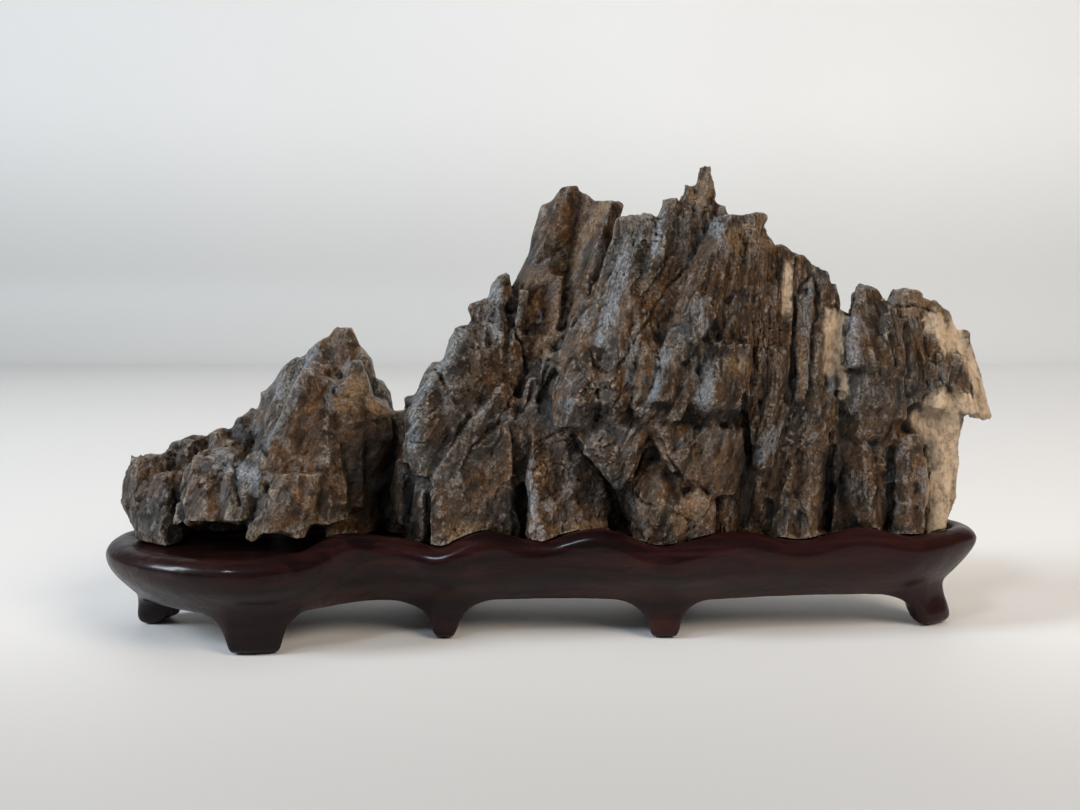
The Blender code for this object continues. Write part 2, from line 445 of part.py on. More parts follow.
def between(table, x):
    """Value of a smooth curve through the x, value pairs of the table."""
    if x <= table[0][0]:
        return table[0][1]
    for (x0, v0), (x1, v1) in zip(table, table[1:]):
        if x <= x1:
            t = (x - x0) / (x1 - x0)
            return v0 + (v1 - v0) * t * t * (3 - 2 * t)
    return table[-1][1]


def foot_share(point):
    """1 under a foot, 0 between the feet, with a rounded fillet on each side."""
    share = 0.0
    for x, y, sole, fillet in FEET:
        away = (point - Vector((x, y))).length - sole / 2
        t = min(max(1 - away / fillet, 0.0), 1.0)
        share = max(share, 1 - math.sqrt(1 - t * t))
    return share


def stand_columns():
    """Stations round the rim: every COLUMN_STEP, at each sole's edges, and where an outline turns."""
    fine = closed_curve(RIM_PLAN, 0.4)
    shares = [foot_share(p) for p in fine]
    columns, since, before = [], 99.0, 0.0
    for i, p in enumerate(fine):
        since += (p - fine[i - 1]).length
        following = (i + 1) % len(fine)
        sole_edge = shares[i] == 1 and min(shares[i - 1], shares[following]) < 1
        if sole_edge or since >= COLUMN_STEP or (since > 0.7 and abs(shares[i] - before) > 0.24):
            along = fine[following] - fine[i - 1]
            columns.append((p, Vector((-along.y, along.x)).normalized(), shares[i]))
            since, before = 0.0, shares[i]
    return columns


def spine_point(p):
    """Nearest point of the stand's long middle line."""
    return Vector((min(max(p.x, -74), 74), -3.0 if p.x > -40 else -4.5))


def undercut(p):
    """How far the wall leans in below the rim, more and more towards the right end."""
    start, full, depth = UNDERCUT
    t = min(max((p.x - start) / (full - start), 0.0), 1.0)
    return depth * t * t * (3 - 2 * t)


def stand_mesh(name, grow=0.0, lift=0.0):
    """The stand as rings lofted round the rim line. grow and lift make the larger copy that fits the rock."""
    columns = stand_columns()

    def crest(p):
        return between(CREST_FRONT if p.y < spine_point(p).y else CREST_BACK, p.x)

    rings = []
    for inset, base, dz in RINGS:
        side = grow if inset > CREST_INSET else -grow
        level = {"floor": TRAY_FLOOR, "wall": 0.0}
        share = 1.0 if base == "wall" else 0.0
        rings.append([
            (*(p + n * (inset + side + share * undercut(p))), level.get(base, crest(p)) + dz + lift)
            for p, n, s in columns
        ])
    for inset, set_out, height, drop in UNDER_RINGS:
        rings.append([(*(p + n * (inset - set_out * s)), height - drop * s) for p, n, s in columns])
    bm = bmesh.new()
    loops = [[bm.verts.new((Vector(v) - ORIGIN) * MM) for v in ring] for ring in rings]
    count = len(columns)
    for upper, lower in zip(loops, loops[1:]):
        for i in range(count):
            j = (i + 1) % count
            bm.faces.new((upper[i], lower[i], lower[j], upper[j]))
    bm.faces.new(loops[0])
    bm.faces.new(reversed(loops[-1]))
    bmesh.ops.recalc_face_normals(bm, faces=bm.faces)
    mesh = bpy.data.meshes.new(name)
    bm.to_mesh(mesh)
    bm.free()
    return mesh


# ---------------------------------------------------------------- scene

def material(name, color, roughness):
    mat = bpy.data.materials.new(name)
    mat.use_nodes = True
    shader = mat.node_tree.nodes["Principled BSDF"]
    shader.inputs["Base Color"].default_value = (*color, 1.0)
    shader.inputs["Roughness"].default_value = roughness
    return mat


def main():
    for obj in list(bpy.data.objects):
        bpy.data.objects.remove(obj)
    parts = bpy.data.collections.new("scholars_rock")
    helpers = bpy.data.collections.new("helpers")
    for collection in (parts, helpers):
        bpy.context.scene.collection.children.link(collection)

    stand = bpy.data.objects.new("stand", stand_mesh("stand"))
    parts.objects.link(stand)
    stand.data.materials.append(material("dark_hardwood", (0.045, 0.018, 0.014), 0.3))
    stand.data.shade_smooth()

    clearance = bpy.data.objects.new("stand_clearance", stand_mesh("stand_clearance", SEAT_GAP, SEAT_GAP))
    helpers.objects.link(clearance)
    clearance.hide_render = True
    clearance.display_type = "WIRE"

    rock = make_rock(parts, clearance)
    rock.data.materials.append(material("weathered_stone", (0.11, 0.085, 0.065), 0.8))


main()
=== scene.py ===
"""Looks for the scholar's rock on its carved hardwood stand.

The rock is built again from the ribs that the solid is made of, at a much finer grain, and is then given its
cleaved facets, cracks, striations and pits. The stand is lofted again from the same rim line and rings.
Front-view coordinates are millimetres: x and z in the plane y = 0, as seen from the viewing point EYE.
"""

import math
import random
from collections import namedtuple

import bmesh
import bpy
import numpy as np
from mathutils import Euler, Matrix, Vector

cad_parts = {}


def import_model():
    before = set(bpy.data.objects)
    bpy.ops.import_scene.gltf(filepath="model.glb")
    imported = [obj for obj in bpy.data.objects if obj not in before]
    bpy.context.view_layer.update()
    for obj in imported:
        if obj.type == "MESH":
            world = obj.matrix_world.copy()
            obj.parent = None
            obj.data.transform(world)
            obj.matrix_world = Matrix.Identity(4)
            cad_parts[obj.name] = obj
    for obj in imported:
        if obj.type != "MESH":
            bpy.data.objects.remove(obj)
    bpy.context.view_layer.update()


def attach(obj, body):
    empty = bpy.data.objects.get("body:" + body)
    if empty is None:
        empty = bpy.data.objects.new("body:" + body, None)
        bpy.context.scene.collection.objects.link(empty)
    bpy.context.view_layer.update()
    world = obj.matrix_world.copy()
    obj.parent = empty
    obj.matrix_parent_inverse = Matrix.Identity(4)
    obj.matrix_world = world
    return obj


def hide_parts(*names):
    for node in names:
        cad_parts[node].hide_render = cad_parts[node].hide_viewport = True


MM = 0.001
EYE = Vector((-2.3, -228.0, 67.0))  # viewing point of the front-view coordinates, mm
ORIGIN = Vector((0.3, -4.6, 0.0))  # bottom centre of the whole piece, mm

# Stand, mm
TRAY_FLOOR = 18.4
SEAT_GAP = 0.3
SEAT = TRAY_FLOOR + SEAT_GAP  # height of the faces that the rock rests on
UNDERSIDE = 7.0
STAND_STEP = 1.0  # along the rim
CLEARANCE_STEP = 1.5

# Rock
SHOULDER = 0.7  # how far a rib's sides lie behind its keel, as a share of its half width
JITTER = 0.08  # how far a corner strays, as a share of the half width
FUSE_VOXEL = 0.6  # mm
FACET_TRIANGLES = 11000
ROCK_VOXEL = 0.42
ROCK_TRIANGLES = 190000
# Facets' sizes across the layers, in depth and along them, mm
FACES = (7.0, 8.0, 15.0)
SLABS = (3.6, 4.0, 8.0)
FLAKES = (2.7, 3.2, 6.0)
CHIPS = (1.3, 1.5, 2.4)
LEDGES = (1.5, 4.0, 18.0)
CREASE = math.radians(30)  # edges sharper than this are not smoothed over

Rib = namedtuple(
    "Rib", "foot tip half front deep keel flat tilt mid", defaults=(0.0, 0.2, 0.0, None)
)
# foot, tip: front-view x, z of its two ends      half: half widths there     front: y of its front there
# deep: thickness there     keel: where its front ridge runs, from -1 (left side) to 1
# flat: half width of the flat on the keel     tilt: degrees that the tip rises to the right
# mid: x, z, half width and, where given, y of the front, halfway up

LEFT_HILL = [
    # back peak and its flanks
    Rib((-47, 18), (-43.3, 61.2), (14, 1.9), (3, 13), (14, 5), keel=0.45, mid=(-46, 49, 9, 7)),
    Rib((-51, 20), (-49, 57.9), (10, 2.6), (2, 11), (13, 6), keel=0.3, tilt=28, mid=(-50, 46, 7, 6)),
    Rib((-56, 20), (-54.6, 54.6), (10, 2.4), (1, 10), (13, 6), keel=-0.2, tilt=40, mid=(-56, 43, 6.5, 5)),
    Rib((-61, 20), (-59.3, 48.6), (8, 2.2), (0, 9), (13, 7), keel=-0.3, tilt=50),
    Rib((-41, 20), (-38.8, 56), (7, 2), (1, 9), (12, 6), keel=0.3, tilt=-50),
    Rib((-37, 20), (-35, 48.8), (5.5, 2), (1, 7), (12, 6), keel=0.2, tilt=-50),
    # its long low shoulder
    Rib((-66, 18), (-64.2, 43.3), (7, 2.5), (-1, 8), (13, 7), keel=-0.3, tilt=30),
    Rib((-71, 18), (-70, 39.6), (6, 2), (-3, 6), (13, 7), keel=0.1, tilt=28),
    Rib((-78, 18), (-76.6, 37.6), (6, 3.3), (-3, 4), (13, 7), keel=0.1, tilt=10),
    Rib((-80, 19), (-81, 35.6), (4.5, 1.6), (-4, 3), (11, 6), keel=-0.2, tilt=25),
    # knobs of the left end
    Rib((-84, 18.5), (-86.3, 33.9), (4.5, 2.4), (-12, -6), (15, 9), keel=-0.1, tilt=4, mid=(-86.2, 26, 5.0)),
    Rib((-85, 19), (-88.6, 32), (2.5, 1.2), (-9, -5), (12, 8), keel=-0.3, tilt=45, mid=(-88.4, 25.6, 3.2)),
    Rib((-82, 18), (-82, 30.5), (3, 2.3), (-15, -10), (12, 9), keel=0.2, mid=(-82, 24.5, 3.6)),
    # front lump over the hollow
    Rib((-71.5, 20.4), (-71.5, 34.3), (6, 3.8), (-22, -17), (18, 14), keel=-0.5, flat=0.4, tilt=-3),
    Rib((-77, 19.6), (-75.6, 32.6), (3, 2), (-19, -15), (16, 12), keel=-0.2, tilt=25),
    Rib((-67.5, 20.4), (-67.3, 31.8), (3.5, 2), (-22.8, -18), (16, 12), keel=0.1),
    # front ridge
    Rib((-55.5, 20), (-50.7, 52.6), (10.5, 1.3), (-22.5, -11), (20, 8), keel=-0.85, flat=0.05, tilt=-12),
    Rib((-60.5, 21), (-57.6, 42.2), (6.5, 1.4), (-22.5, -13.5), (18, 9), keel=-0.8, tilt=20),
    Rib((-64.5, 22), (-63, 35), (4, 1.3), (-22.3, -16.5), (16, 10), keel=-0.4, tilt=35),
    Rib((-51, 20), (-47.6, 50.6), (7, 1.3), (-20, -9.5), (18, 8), keel=0.2, flat=0.35, tilt=-20),
    # tan crown right of it, over the shaded wall
    Rib((-41, 30), (-40.4, 54.6), (4, 0.6), (-6.5, -3), (10, 5), keel=-0.6, mid=(-41, 42, 5, -9.4)),
    Rib((-43, 23), (-42, 50.2), (3.2, 3), (-8.6, -6), (12, 8), keel=-0.7, flat=0.2, tilt=-2,
        mid=(-43.2, 39.5, 3.6, -11.4)),
    Rib((-38, 27), (-36.5, 45.8), (3.8, 2.2), (-3.6, -4), (12, 8), keel=0.1, tilt=-25,
        mid=(-38.2, 41, 4.3, -8.2)),
    Rib((-43.5, 19.5), (-42, 47), (5, 3), (-7.5, -5), (13, 8), keel=-0.6, flat=0.2),
    Rib((-38.5, 19.5), (-37, 44), (5, 3), (-2.5, -2), (12, 8), keel=0.1, tilt=-10),
    Rib((-34.5, 19.5), (-33.8, 43.6), (3, 1.2), (0, 0), (10, 6), keel=0.3, tilt=-20),
    # buttress with its two toes
    Rib((-58.5, 18), (-54, 30.5), (4.8, 3), (-24.5, -21), (16, 12), keel=-0.2, flat=0.3),
    Rib((-63.4, 16.4), (-58.4, 27), (0.9, 2.2), (-24.5, -22), (8, 10), keel=-0.2),
    Rib((-54, 17), (-51, 30.5), (1.8, 2.8), (-23.5, -19.5), (10, 10), keel=0.2),
]

LEFT_SLABS = [
    # front block, with a narrow face to the left and a broad one to the right
    Rib((-27, 30), (-24.2, 53.6), (2.2, 0.8), (-16.5, -10.5), (12, 7), keel=-0.2,
        mid=(-25.4, 42, 5.2, -16.5)),
    Rib((-30, 33), (-29.5, 47), (1.4, 1), (-12, -9.5), (9, 7), keel=0.4),
    # slab behind it
    Rib((-14.5, 36), (-18.4, 61), (7.5, 1.8), (-14.5, -6), (14, 8), keel=-0.7, flat=0.15, tilt=-8,
        mid=(-16, 48, 8, -12.5)),
    Rib((-21, 40), (-20.6, 59), (3, 0.9), (-13, -7), (12, 8), keel=0.5, tilt=14),
    # foot slab, up to the slanting joint
    Rib((-16, 17.5), (-12.5, 45.5), (8.3, 4), (-17.5, -12), (15, 10), keel=-0.75, flat=0.2,
        mid=(-16.6, 30, 8.2, -16.8)),
    Rib((-22.6, 16.3), (-22, 31), (2.4, 2.6), (-18.2, -16.4), (10, 10), keel=-0.1),
    Rib((-23, 30), (-10.5, 47.5), (1.6, 1.7), (-16.6, -11.4), (9, 8), keel=-0.5, flat=0.3),
    Rib((-9.5, 18), (-10.5, 42), (2.8, 3.2), (-13, -10.5), (13, 11), keel=-0.5, flat=0.3),
    # lumps in the shadow at its left
    Rib((-31, 20), (-31.2, 34), (2.2, 1.4), (-9, -8), (12, 10), keel=-0.2, mid=(-31.2, 27, 2.8)),
    Rib((-28, 18.2), (-27.2, 28), (2.2, 1.4), (-13, -13), (9, 9), keel=0.2),
    Rib((-32, 19.5), (-31.2, 43.5), (4, 1.6), (-3, -1), (14, 10), tilt=10),
    Rib((-26, 18), (-24, 50), (6, 2.5), (-11, -7), (16, 10), flat=0.6),
]

SECOND_PEAK = [
    Rib((-9, 26), (3.6, 90.4), (9, 2), (-6, 8), (18, 7), keel=-0.3, flat=0.3, tilt=8, mid=(-3.4, 62, 9, 0)),
    Rib((-6, 50), (-0.6, 86.9), (5, 1.7), (-2, 9), (13, 6), keel=-0.5, tilt=22),
    Rib((2, 55), (7, 88.7), (3.3, 1.8), (1, 8.5), (11, 6), keel=0.3, tilt=-28),
    Rib((4.5, 57), (13.2, 87.1), (2.5, 1.9), (-5, 5), (13, 8), keel=-0.5, flat=0.25, tilt=-8),
    Rib((2, 52), (10.4, 87.2), (2.6, 1.9), (-2, 7), (12, 7), keel=0.2, tilt=-10, mid=(6, 68, 3)),
    Rib((-13, 48), (-10.8, 71.4), (4.5, 1.7), (-8, 1), (13, 8), keel=0.3, flat=0.25, tilt=28),
    Rib((-17, 45), (-13.8, 67), (4, 1), (-8, -2), (13, 8), tilt=20),
    Rib((-17.5, 46), (-16.4, 61.6), (3.5, 1.2), (-7, -3), (10, 7), tilt=-5),
    Rib((-15.1, 59), (-15.8, 66.3), (0.9, 0.8), (-1, -1), (3, 3), mid=(-15.6, 64.8, 1.4)),
    Rib((-9, 66), (-10, 72.9), (1.5, 1.1), (1, 2), (5, 4), tilt=8),
    Rib((-9, 46), (-5.5, 69), (1.6, 0.9), (-6.5, -2), (8, 6), keel=-0.5),
    Rib((-2, 45), (1.5, 72), (1.8, 1.2), (-5, 1.5), (8, 6), keel=0.5),
]

GULLY = [
    Rib((-3, 20), (-1, 60), (9, 5), (-4, -2.5), (15, 12), flat=0.8),
    Rib((-8, 19), (-7, 44), (4, 3.5), (-4, -4), (14, 10), flat=0.8),
    Rib((-8.5, 30), (-3.5, 51), (2.2, 1.2), (-10.5, -7.5), (9, 7), keel=-0.3),
    Rib((-5.5, 36), (-0.5, 55), (1.6, 1), (-9, -6.5), (8, 6), keel=-0.4),
    Rib((-6.4, 20), (-5, 42), (3, 2.4), (-7, -7), (10, 9), keel=0.1),
    Rib((-0.6, 41), (0.6, 56), (2, 1.4), (-8, -6.5), (9, 7), keel=0.3),
    # fin with its narrow left face and broad front
    Rib((2.6, 17.3), (-2.4, 46), (7.2, 1.6), (-16.5, -8), (15, 8), keel=-0.72, flat=0.12,
        mid=(1.4, 31, 6.3, -13.5)),
    Rib((6.5, 17.8), (4, 40), (6, 4.5), (-14.5, -9.5), (14, 9), keel=-0.5, flat=0.4),
    Rib((11, 18.8), (9, 40), (5, 4), (-8.5, -6), (13, 9), keel=-0.3, flat=0.4),
]

MASSIF = [
    Rib((28, 18), (27, 84.5), (13, 6), (-10, -3.5), (21, 11), flat=0.8, mid=(25, 52, 17.5, -15)),
    Rib((26, 56), (29, 82), (13, 7), (-13.5, -4.5), (16, 10), flat=0.85, mid=(27.5, 66, 12, -12)),
    Rib((24, 36), (24, 58), (16, 17), (-13, -15), (18, 18), flat=0.85),
    Rib((13, 35), (11, 50), (4.5, 7.5), (-14, -13.5), (15, 14), flat=0.7),
    Rib((42, 18), (43, 74), (6, 4), (-9.5, -5), (16, 11), flat=0.8, mid=(42, 48, 6, -12)),
    # left edge: ragged grey slivers, the tan face and the long lit band
    Rib((4, 40.5), (4.3, 63), (3, 0.8), (-16, -13.5), (13, 11), keel=0.2, mid=(2.5, 47.5, 2.5, -15.5)),
    Rib((5, 43), (7, 59), (2.5, 2), (-17, -15), (12, 10), keel=-0.2),
    Rib((8.5, 47), (8.8, 67), (4, 2), (-17, -13), (12, 9), keel=-0.1, mid=(7.8, 57.5, 4.3, -16)),
    Rib((9.7, 57), (15.6, 83.8), (2, 1.7), (-17.2, -8), (12, 9), keel=0.7, mid=(12, 71, 2.7, -14)),
    Rib((13, 50), (17, 78), (4, 2.6), (-18, -10.5), (12, 9), keel=0.1, mid=(14.8, 66, 3.4, -16.2)),
    # crown
    Rib((18, 62), (18.6, 84.3), (3.6, 3.2), (-14.5, -7), (13, 9), keel=-0.3, flat=0.3, tilt=4),
    Rib((18.5, 60), (24.4, 87.4), (3.2, 1.6), (-15.4, -5.5), (12, 8), keel=0.45, tilt=14,
        mid=(21.5, 76, 2.8, -10.5)),
    Rib((31, 72), (31.8, 94), (3.2, 1.2), (-6, -2), (10, 3), mid=(32, 86.5, 2.1, -3)),
    Rib((28.3, 80), (28.3, 90.6), (2, 0.9), (-4, -1.5), (7, 3)),
    Rib((34.5, 70), (35.3, 86.2), (3, 1), (-7, -3.5), (10, 6), keel=0.2, tilt=-40),
    Rib((41, 60), (41.7, 84.6), (4.4, 2.3), (-11, -6.5), (13, 8), keel=-0.2, flat=0.35, tilt=-12),
    Rib((44, 58), (45.1, 80.6), (2.8, 1.1), (-9, -5.5), (11, 7), tilt=-50),
    # broad faces, each sweeping down to the left
    Rib((14, 48), (23, 72), (4.2, 3.4), (-17.4, -12.5), (12, 9), keel=-0.3, flat=0.3,
        mid=(18, 59, 4, -17)),
    Rib((17.4, 54), (28.5, 86.6), (4.6, 3.6), (-18.2, -5), (13, 8), keel=-0.75, flat=0.12,
        mid=(23.4, 71, 5, -13.4)),
    Rib((27, 55), (37.4, 84.4), (5.4, 2.4), (-18.4, -7.4), (13, 8), keel=-0.3, flat=0.05, tilt=6,
        mid=(32.6, 71, 5.4, -14.8)),
    Rib((37.5, 54), (42.4, 79), (4.2, 3), (-15.4, -8), (12, 8), keel=-0.5, flat=0.2,
        mid=(40.6, 66, 4.2, -12.6)),
    # lower strips, the light ones faced to the left
    Rib((22.6, 45.5), (27, 61.5), (2.4, 1.5), (-20, -17), (9, 7), keel=0.25),
    Rib((17.6, 44), (20.6, 58), (2.2, 1.5), (-19, -17), (8, 7), keel=-0.2),
    Rib((23.4, 38.6), (24.8, 50), (3.6, 3), (-16.8, -17.2), (9, 9), keel=0.2),
    Rib((25.6, 41.6), (29.4, 50.6), (1.7, 0.9), (-19.6, -17.6), (8, 7), keel=0.5),
    Rib((28, 50), (33, 64), (1.3, 1.2), (-18, -17), (7, 7), keel=-0.4),
    Rib((29.6, 58.6), (31.8, 67.6), (2.1, 1.3), (-18.6, -16), (8, 7), keel=0.3),
    # square block with its lit left face
    Rib((34, 41), (35.2, 54.8), (6, 4.8), (-16, -17), (13, 11), keel=-0.12, flat=0.04,
        mid=(34.8, 45.3, 5.7, -20.6)),
    # row of lumps
    Rib((5.6, 40.4), (5.2, 52), (2.8, 2), (-16.5, -15), (9, 8), mid=(6.2, 46, 3.5, -18.4)),
    Rib((13.5, 40), (13.6, 51.4), (2.4, 2), (-17, -16.5), (9, 8), mid=(13.5, 45.5, 3.6, -19.4)),
    Rib((19.6, 40.2), (20, 48.6), (2, 1.8), (-17.5, -17.5), (9, 8), mid=(19.6, 44, 2.8, -19.6)),
    # left jaw, which hangs to a point
    Rib((14.4, 27.4), (11, 41), (0.7, 6.8), (-18, -15.5), (8, 13), keel=-0.25, mid=(12.4, 35, 5, -18.8)),
    Rib((16, 29), (16, 41), (1.2, 4.4), (-18, -17.5), (9, 11), keel=0.2, flat=0.2),
    # right jaw, undercut along its left side
    Rib((30.2, 27.8), (26.6, 40.2), (2.2, 5.4), (-17.8, -18), (11, 11), keel=-0.6, flat=0.1,
        mid=(27.6, 34, 4.4, -20)),
    Rib((36, 26), (35.6, 39.7), (3.6, 4.8), (-15.5, -17.6), (11, 11), keel=-0.3, flat=0.4,
        mid=(35.8, 34, 4.6, -17.4)),
    # chin
    Rib((24.5, 16), (23, 33), (6, 5), (-16.3, -14.5), (16, 15), keel=-0.2, flat=0.15,
        mid=(25.3, 24, 8.3, -19)),
    Rib((20.6, 15.9), (19, 31), (2.2, 1.6), (-16, -15), (9, 9), mid=(19.2, 23, 2.7, -17)),
    Rib((31.5, 17.5), (31, 29), (2.7, 3.1), (-15, -15.5), (9, 9), mid=(31.5, 23, 3.4, -17)),
    Rib((37, 18), (37.5, 32), (3, 3.5), (-11, -12.5), (9, 9)),
]

COLUMNS = [
    Rib((52, 19), (52, 68), (12, 5), (-5.5, -3), (15, 10), flat=0.8, mid=(53, 45, 11, -6)),
    # hanging blade and the slivers beside it
    Rib((44.4, 31.6), (46.6, 57), (2, 3.2), (-15.4, -11.5), (10, 8), keel=0.0, flat=0.1,
        mid=(45.8, 42, 3.2, -14.6)),
    Rib((42.5, 36), (43, 50), (0.8, 1.1), (-13, -11.5), (7, 7)),
    Rib((43.5, 27), (44.5, 36), (1.9, 1.9), (-11, -11), (8, 8)),
    # pinnacles, each lower than the last
    Rib((46, 40), (47.3, 78.4), (2.9, 2.3), (-11.5, -5), (13, 8), keel=0.3, flat=0.1, tilt=-8),
    Rib((44, 52), (45.4, 70), (2.1, 1.5), (-12, -8.5), (9, 8), keel=-0.2),
    Rib((49, 55), (49.3, 74), (1.1, 0.9), (-9, -5.5), (8, 7), flat=0.4),
    Rib((51.2, 38), (51.7, 76.6), (1.9, 1.5), (-10.5, -4.5), (11, 8), keel=-0.5, tilt=-12),
    Rib((53.7, 45), (54.1, 74.3), (1.5, 0.9), (-9, -4), (11, 7), keel=0.2, tilt=-22),
    Rib((57, 40), (56.7, 73.1), (3, 0.8), (-9.3, -4), (11, 7), keel=-0.4, tilt=-40,
        mid=(57.4, 64.5, 3.2, -6.5)),
    Rib((59.3, 48), (59.5, 69.3), (2, 1), (-8, -4), (9, 6), tilt=-52),
    # lower columns and their toes
    Rib((55.5, 24), (56, 60), (2.4, 2), (-10, -8.7), (12, 10), keel=-0.3),
    Rib((52.5, 36), (52.8, 68), (2, 2.2), (-10.8, -7.5), (11, 9), keel=-0.2, flat=0.4),
    Rib((50, 17.3), (50.5, 42), (2.5, 2), (-13.2, -10.5), (11, 10), keel=-0.2, mid=(49.8, 24, 2.9)),
    Rib((55.2, 17.8), (54.6, 36), (2.3, 2.3), (-12.8, -10.7), (11, 10), mid=(55, 24, 3, -13.4)),
    Rib((47, 25), (49, 45), (2.3, 2), (-11.5, -11), (9, 9), keel=-0.3),
    Rib((60.7, 19), (60.6, 42), (2.5, 2.2), (-7, -6.5), (10, 9)),
]

RIGHT_END = [
    Rib((70, 19), (72, 63), (12, 8), (-4, -2.5), (13, 9), flat=0.8, mid=(72, 40, 12.5, -4.5)),
    # block with its dark left face, over a ledge
    Rib((66.3, 53), (66.2, 69.9), (4.6, 2.5), (-12, -6.5), (13, 8), keel=-0.55, flat=0.3, tilt=-6,
        mid=(66.3, 62, 4.8, -10)),
    Rib((68.8, 52.8), (70, 66), (2.6, 1.6), (-11.6, -7.5), (9, 8)),
    Rib((67.3, 38), (68, 53), (5, 5.3), (-9.8, -9.2), (13, 11), keel=-0.1, flat=0.5,
        mid=(68, 46, 5.8, -10.6)),
    Rib((63.5, 36), (63, 52), (1.8, 1.5), (-8, -7.5), (9, 8), keel=-0.6),
    Rib((73, 42), (72.6, 63), (2.4, 2), (-9.7, -6.5), (10, 8), keel=-0.3),
    # lower columns
    Rib((68.4, 18.1), (65, 37), (2.5, 2.4), (-10.6, -9), (11, 10), keel=0.1, mid=(66.6, 27.5, 3.9, -11.6)),
    Rib((63.7, 18), (63, 36), (2.4, 2.3), (-8.5, -8.5), (9, 9)),
    Rib((76.2, 18.4), (75.6, 39), (2.9, 2.3), (-11, -9), (13, 11), keel=-0.1, mid=(75.6, 28, 4.4, -12.8)),
    Rib((72, 18), (71.4, 41), (2.6, 2.6), (-8.2, -8), (10, 9)),
    Rib((69.6, 29), (68.6, 43), (2.6, 2.6), (-8.8, -8.6), (9, 9)),
    Rib((81, 19.2), (82.8, 45), (3.3, 4.2), (-8, -5), (15, 11), keel=0.2, flat=0.45, mid=(81.9, 31, 4)),
    # crown and the beak that overhangs the stand
    Rib((75.5, 45), (74.7, 69), (5, 2.6), (-8, -3), (15, 10), keel=-0.4, flat=0.3, tilt=-14),
    Rib((80, 44), (79.6, 67.2), (4.4, 1.9), (-7, -2), (15, 10), keel=0.1, flat=0.3, tilt=-20,
        mid=(80.5, 56, 5.3)),
    Rib((84.5, 44), (82.4, 64), (3.3, 1), (-6, -2), (13, 8), keel=0.4, tilt=-60, mid=(84.2, 54, 3.4)),
    Rib((91, 41.9), (85.2, 61), (1.7, 1.1), (-3, -2), (6, 8), keel=0.3, mid=(88.2, 50, 2.4)),
    Rib((87, 43.2), (84.3, 55), (3.5, 3), (-6, -4), (11, 10)),
]

FRONT_GROUPS = [LEFT_HILL, LEFT_SLABS, SECOND_PEAK, GULLY, MASSIF, COLUMNS, RIGHT_END]

# Back of the stone, one buttress a row: x of its foot, x and height of its crest, and y of its foot's back
BACK = [
    (-82, -81, 27, 4), (-77, -75, 33, 9), (-70, -67, 38, 13), (-60, -56, 46, 15), (-52, -48, 54, 17),
    (-43, -41, 53, 15), (-36, -35, 43, 16), (-28, -24, 47, 14), (-21, -16, 55, 16), (-14, -8, 66, 17),
    (-5, 2, 81, 16), (5, 11, 79, 17.5), (14, 19, 77, 15.5), (23, 28, 83, 17), (33, 37, 79, 16),
    (42, 46, 71, 15.5), (51, 54, 66, 14), (60, 62, 62, 13.5), (69, 70, 64, 12.5), (78, 77, 59, 8),
]


# ---------------------------------------------------------------- meshes

def linked(name, data):
    obj = bpy.data.objects.new(name, data)
    bpy.context.scene.collection.objects.link(obj)
    return obj


def applied(obj):
    """The object's mesh with its modifiers applied; the object is removed."""
    graph = bpy.context.evaluated_depsgraph_get()
    mesh = bpy.data.meshes.new_from_object(obj.evaluated_get(graph))
    bpy.data.objects.remove(obj)
    return mesh


def mesh_from(bm, name):
    mesh = bpy.data.meshes.new(name)
    bm.to_mesh(mesh)
    bm.free()
    return mesh


def per_vertex(mesh, name):
    """A vector that every vertex holds, such as its normal."""
    values = np.empty(len(mesh.vertices) * 3)
    mesh.vertices.foreach_get(name, values)
    return values.reshape(-1, 3)


def points_of(mesh):
    """The vertices' places in mm, measured as the tables are."""
    return per_vertex(mesh, "co") / MM + np.array(ORIGIN)


def put_points(mesh, p):
    mesh.vertices.foreach_set("co", ((p - np.array(ORIGIN)) * MM).ravel())
    mesh.update()


# ---------------------------------------------------------------- rock

def seen(x, z, y):
    """The point at depth y that the viewing point sees at x, z of the front plane."""
    reach = 1 - y / EYE.y
    return Vector((EYE.x + (x - EYE.x) * reach, y, EYE.z + (z - EYE.z) * reach))


def section(centre, half, deep, keel, flat, tilt, rng):
    """The six corners of a rib's cross-section: sides, front ridge and narrower back."""
    across = Vector((math.cos(math.radians(tilt)), 0, math.sin(math.radians(tilt))))
    side = min(SHOULDER * half, 0.5 * deep)
    left_keel, right_keel = max(keel - flat, -0.92), min(keel + flat, 0.92)
    outline = [(-1, side), (left_keel, 0), (right_keel, 0), (1, side), (0.65, deep), (-0.65, deep)]
    corners = []
    for a, y in outline:
        stray = Vector([rng.uniform(-1, 1) * JITTER * half for _ in range(3)])
        corners.append(centre + across * (a * half) + Vector((0, y, 0)) + stray)
    return corners


def on_seat(corners):
    """A foot that comes near the tray is set down on it."""
    lowest = min(c.z for c in corners)
    if lowest < SEAT + 2.6:
        for c in corners:
            c.z = SEAT
    return corners


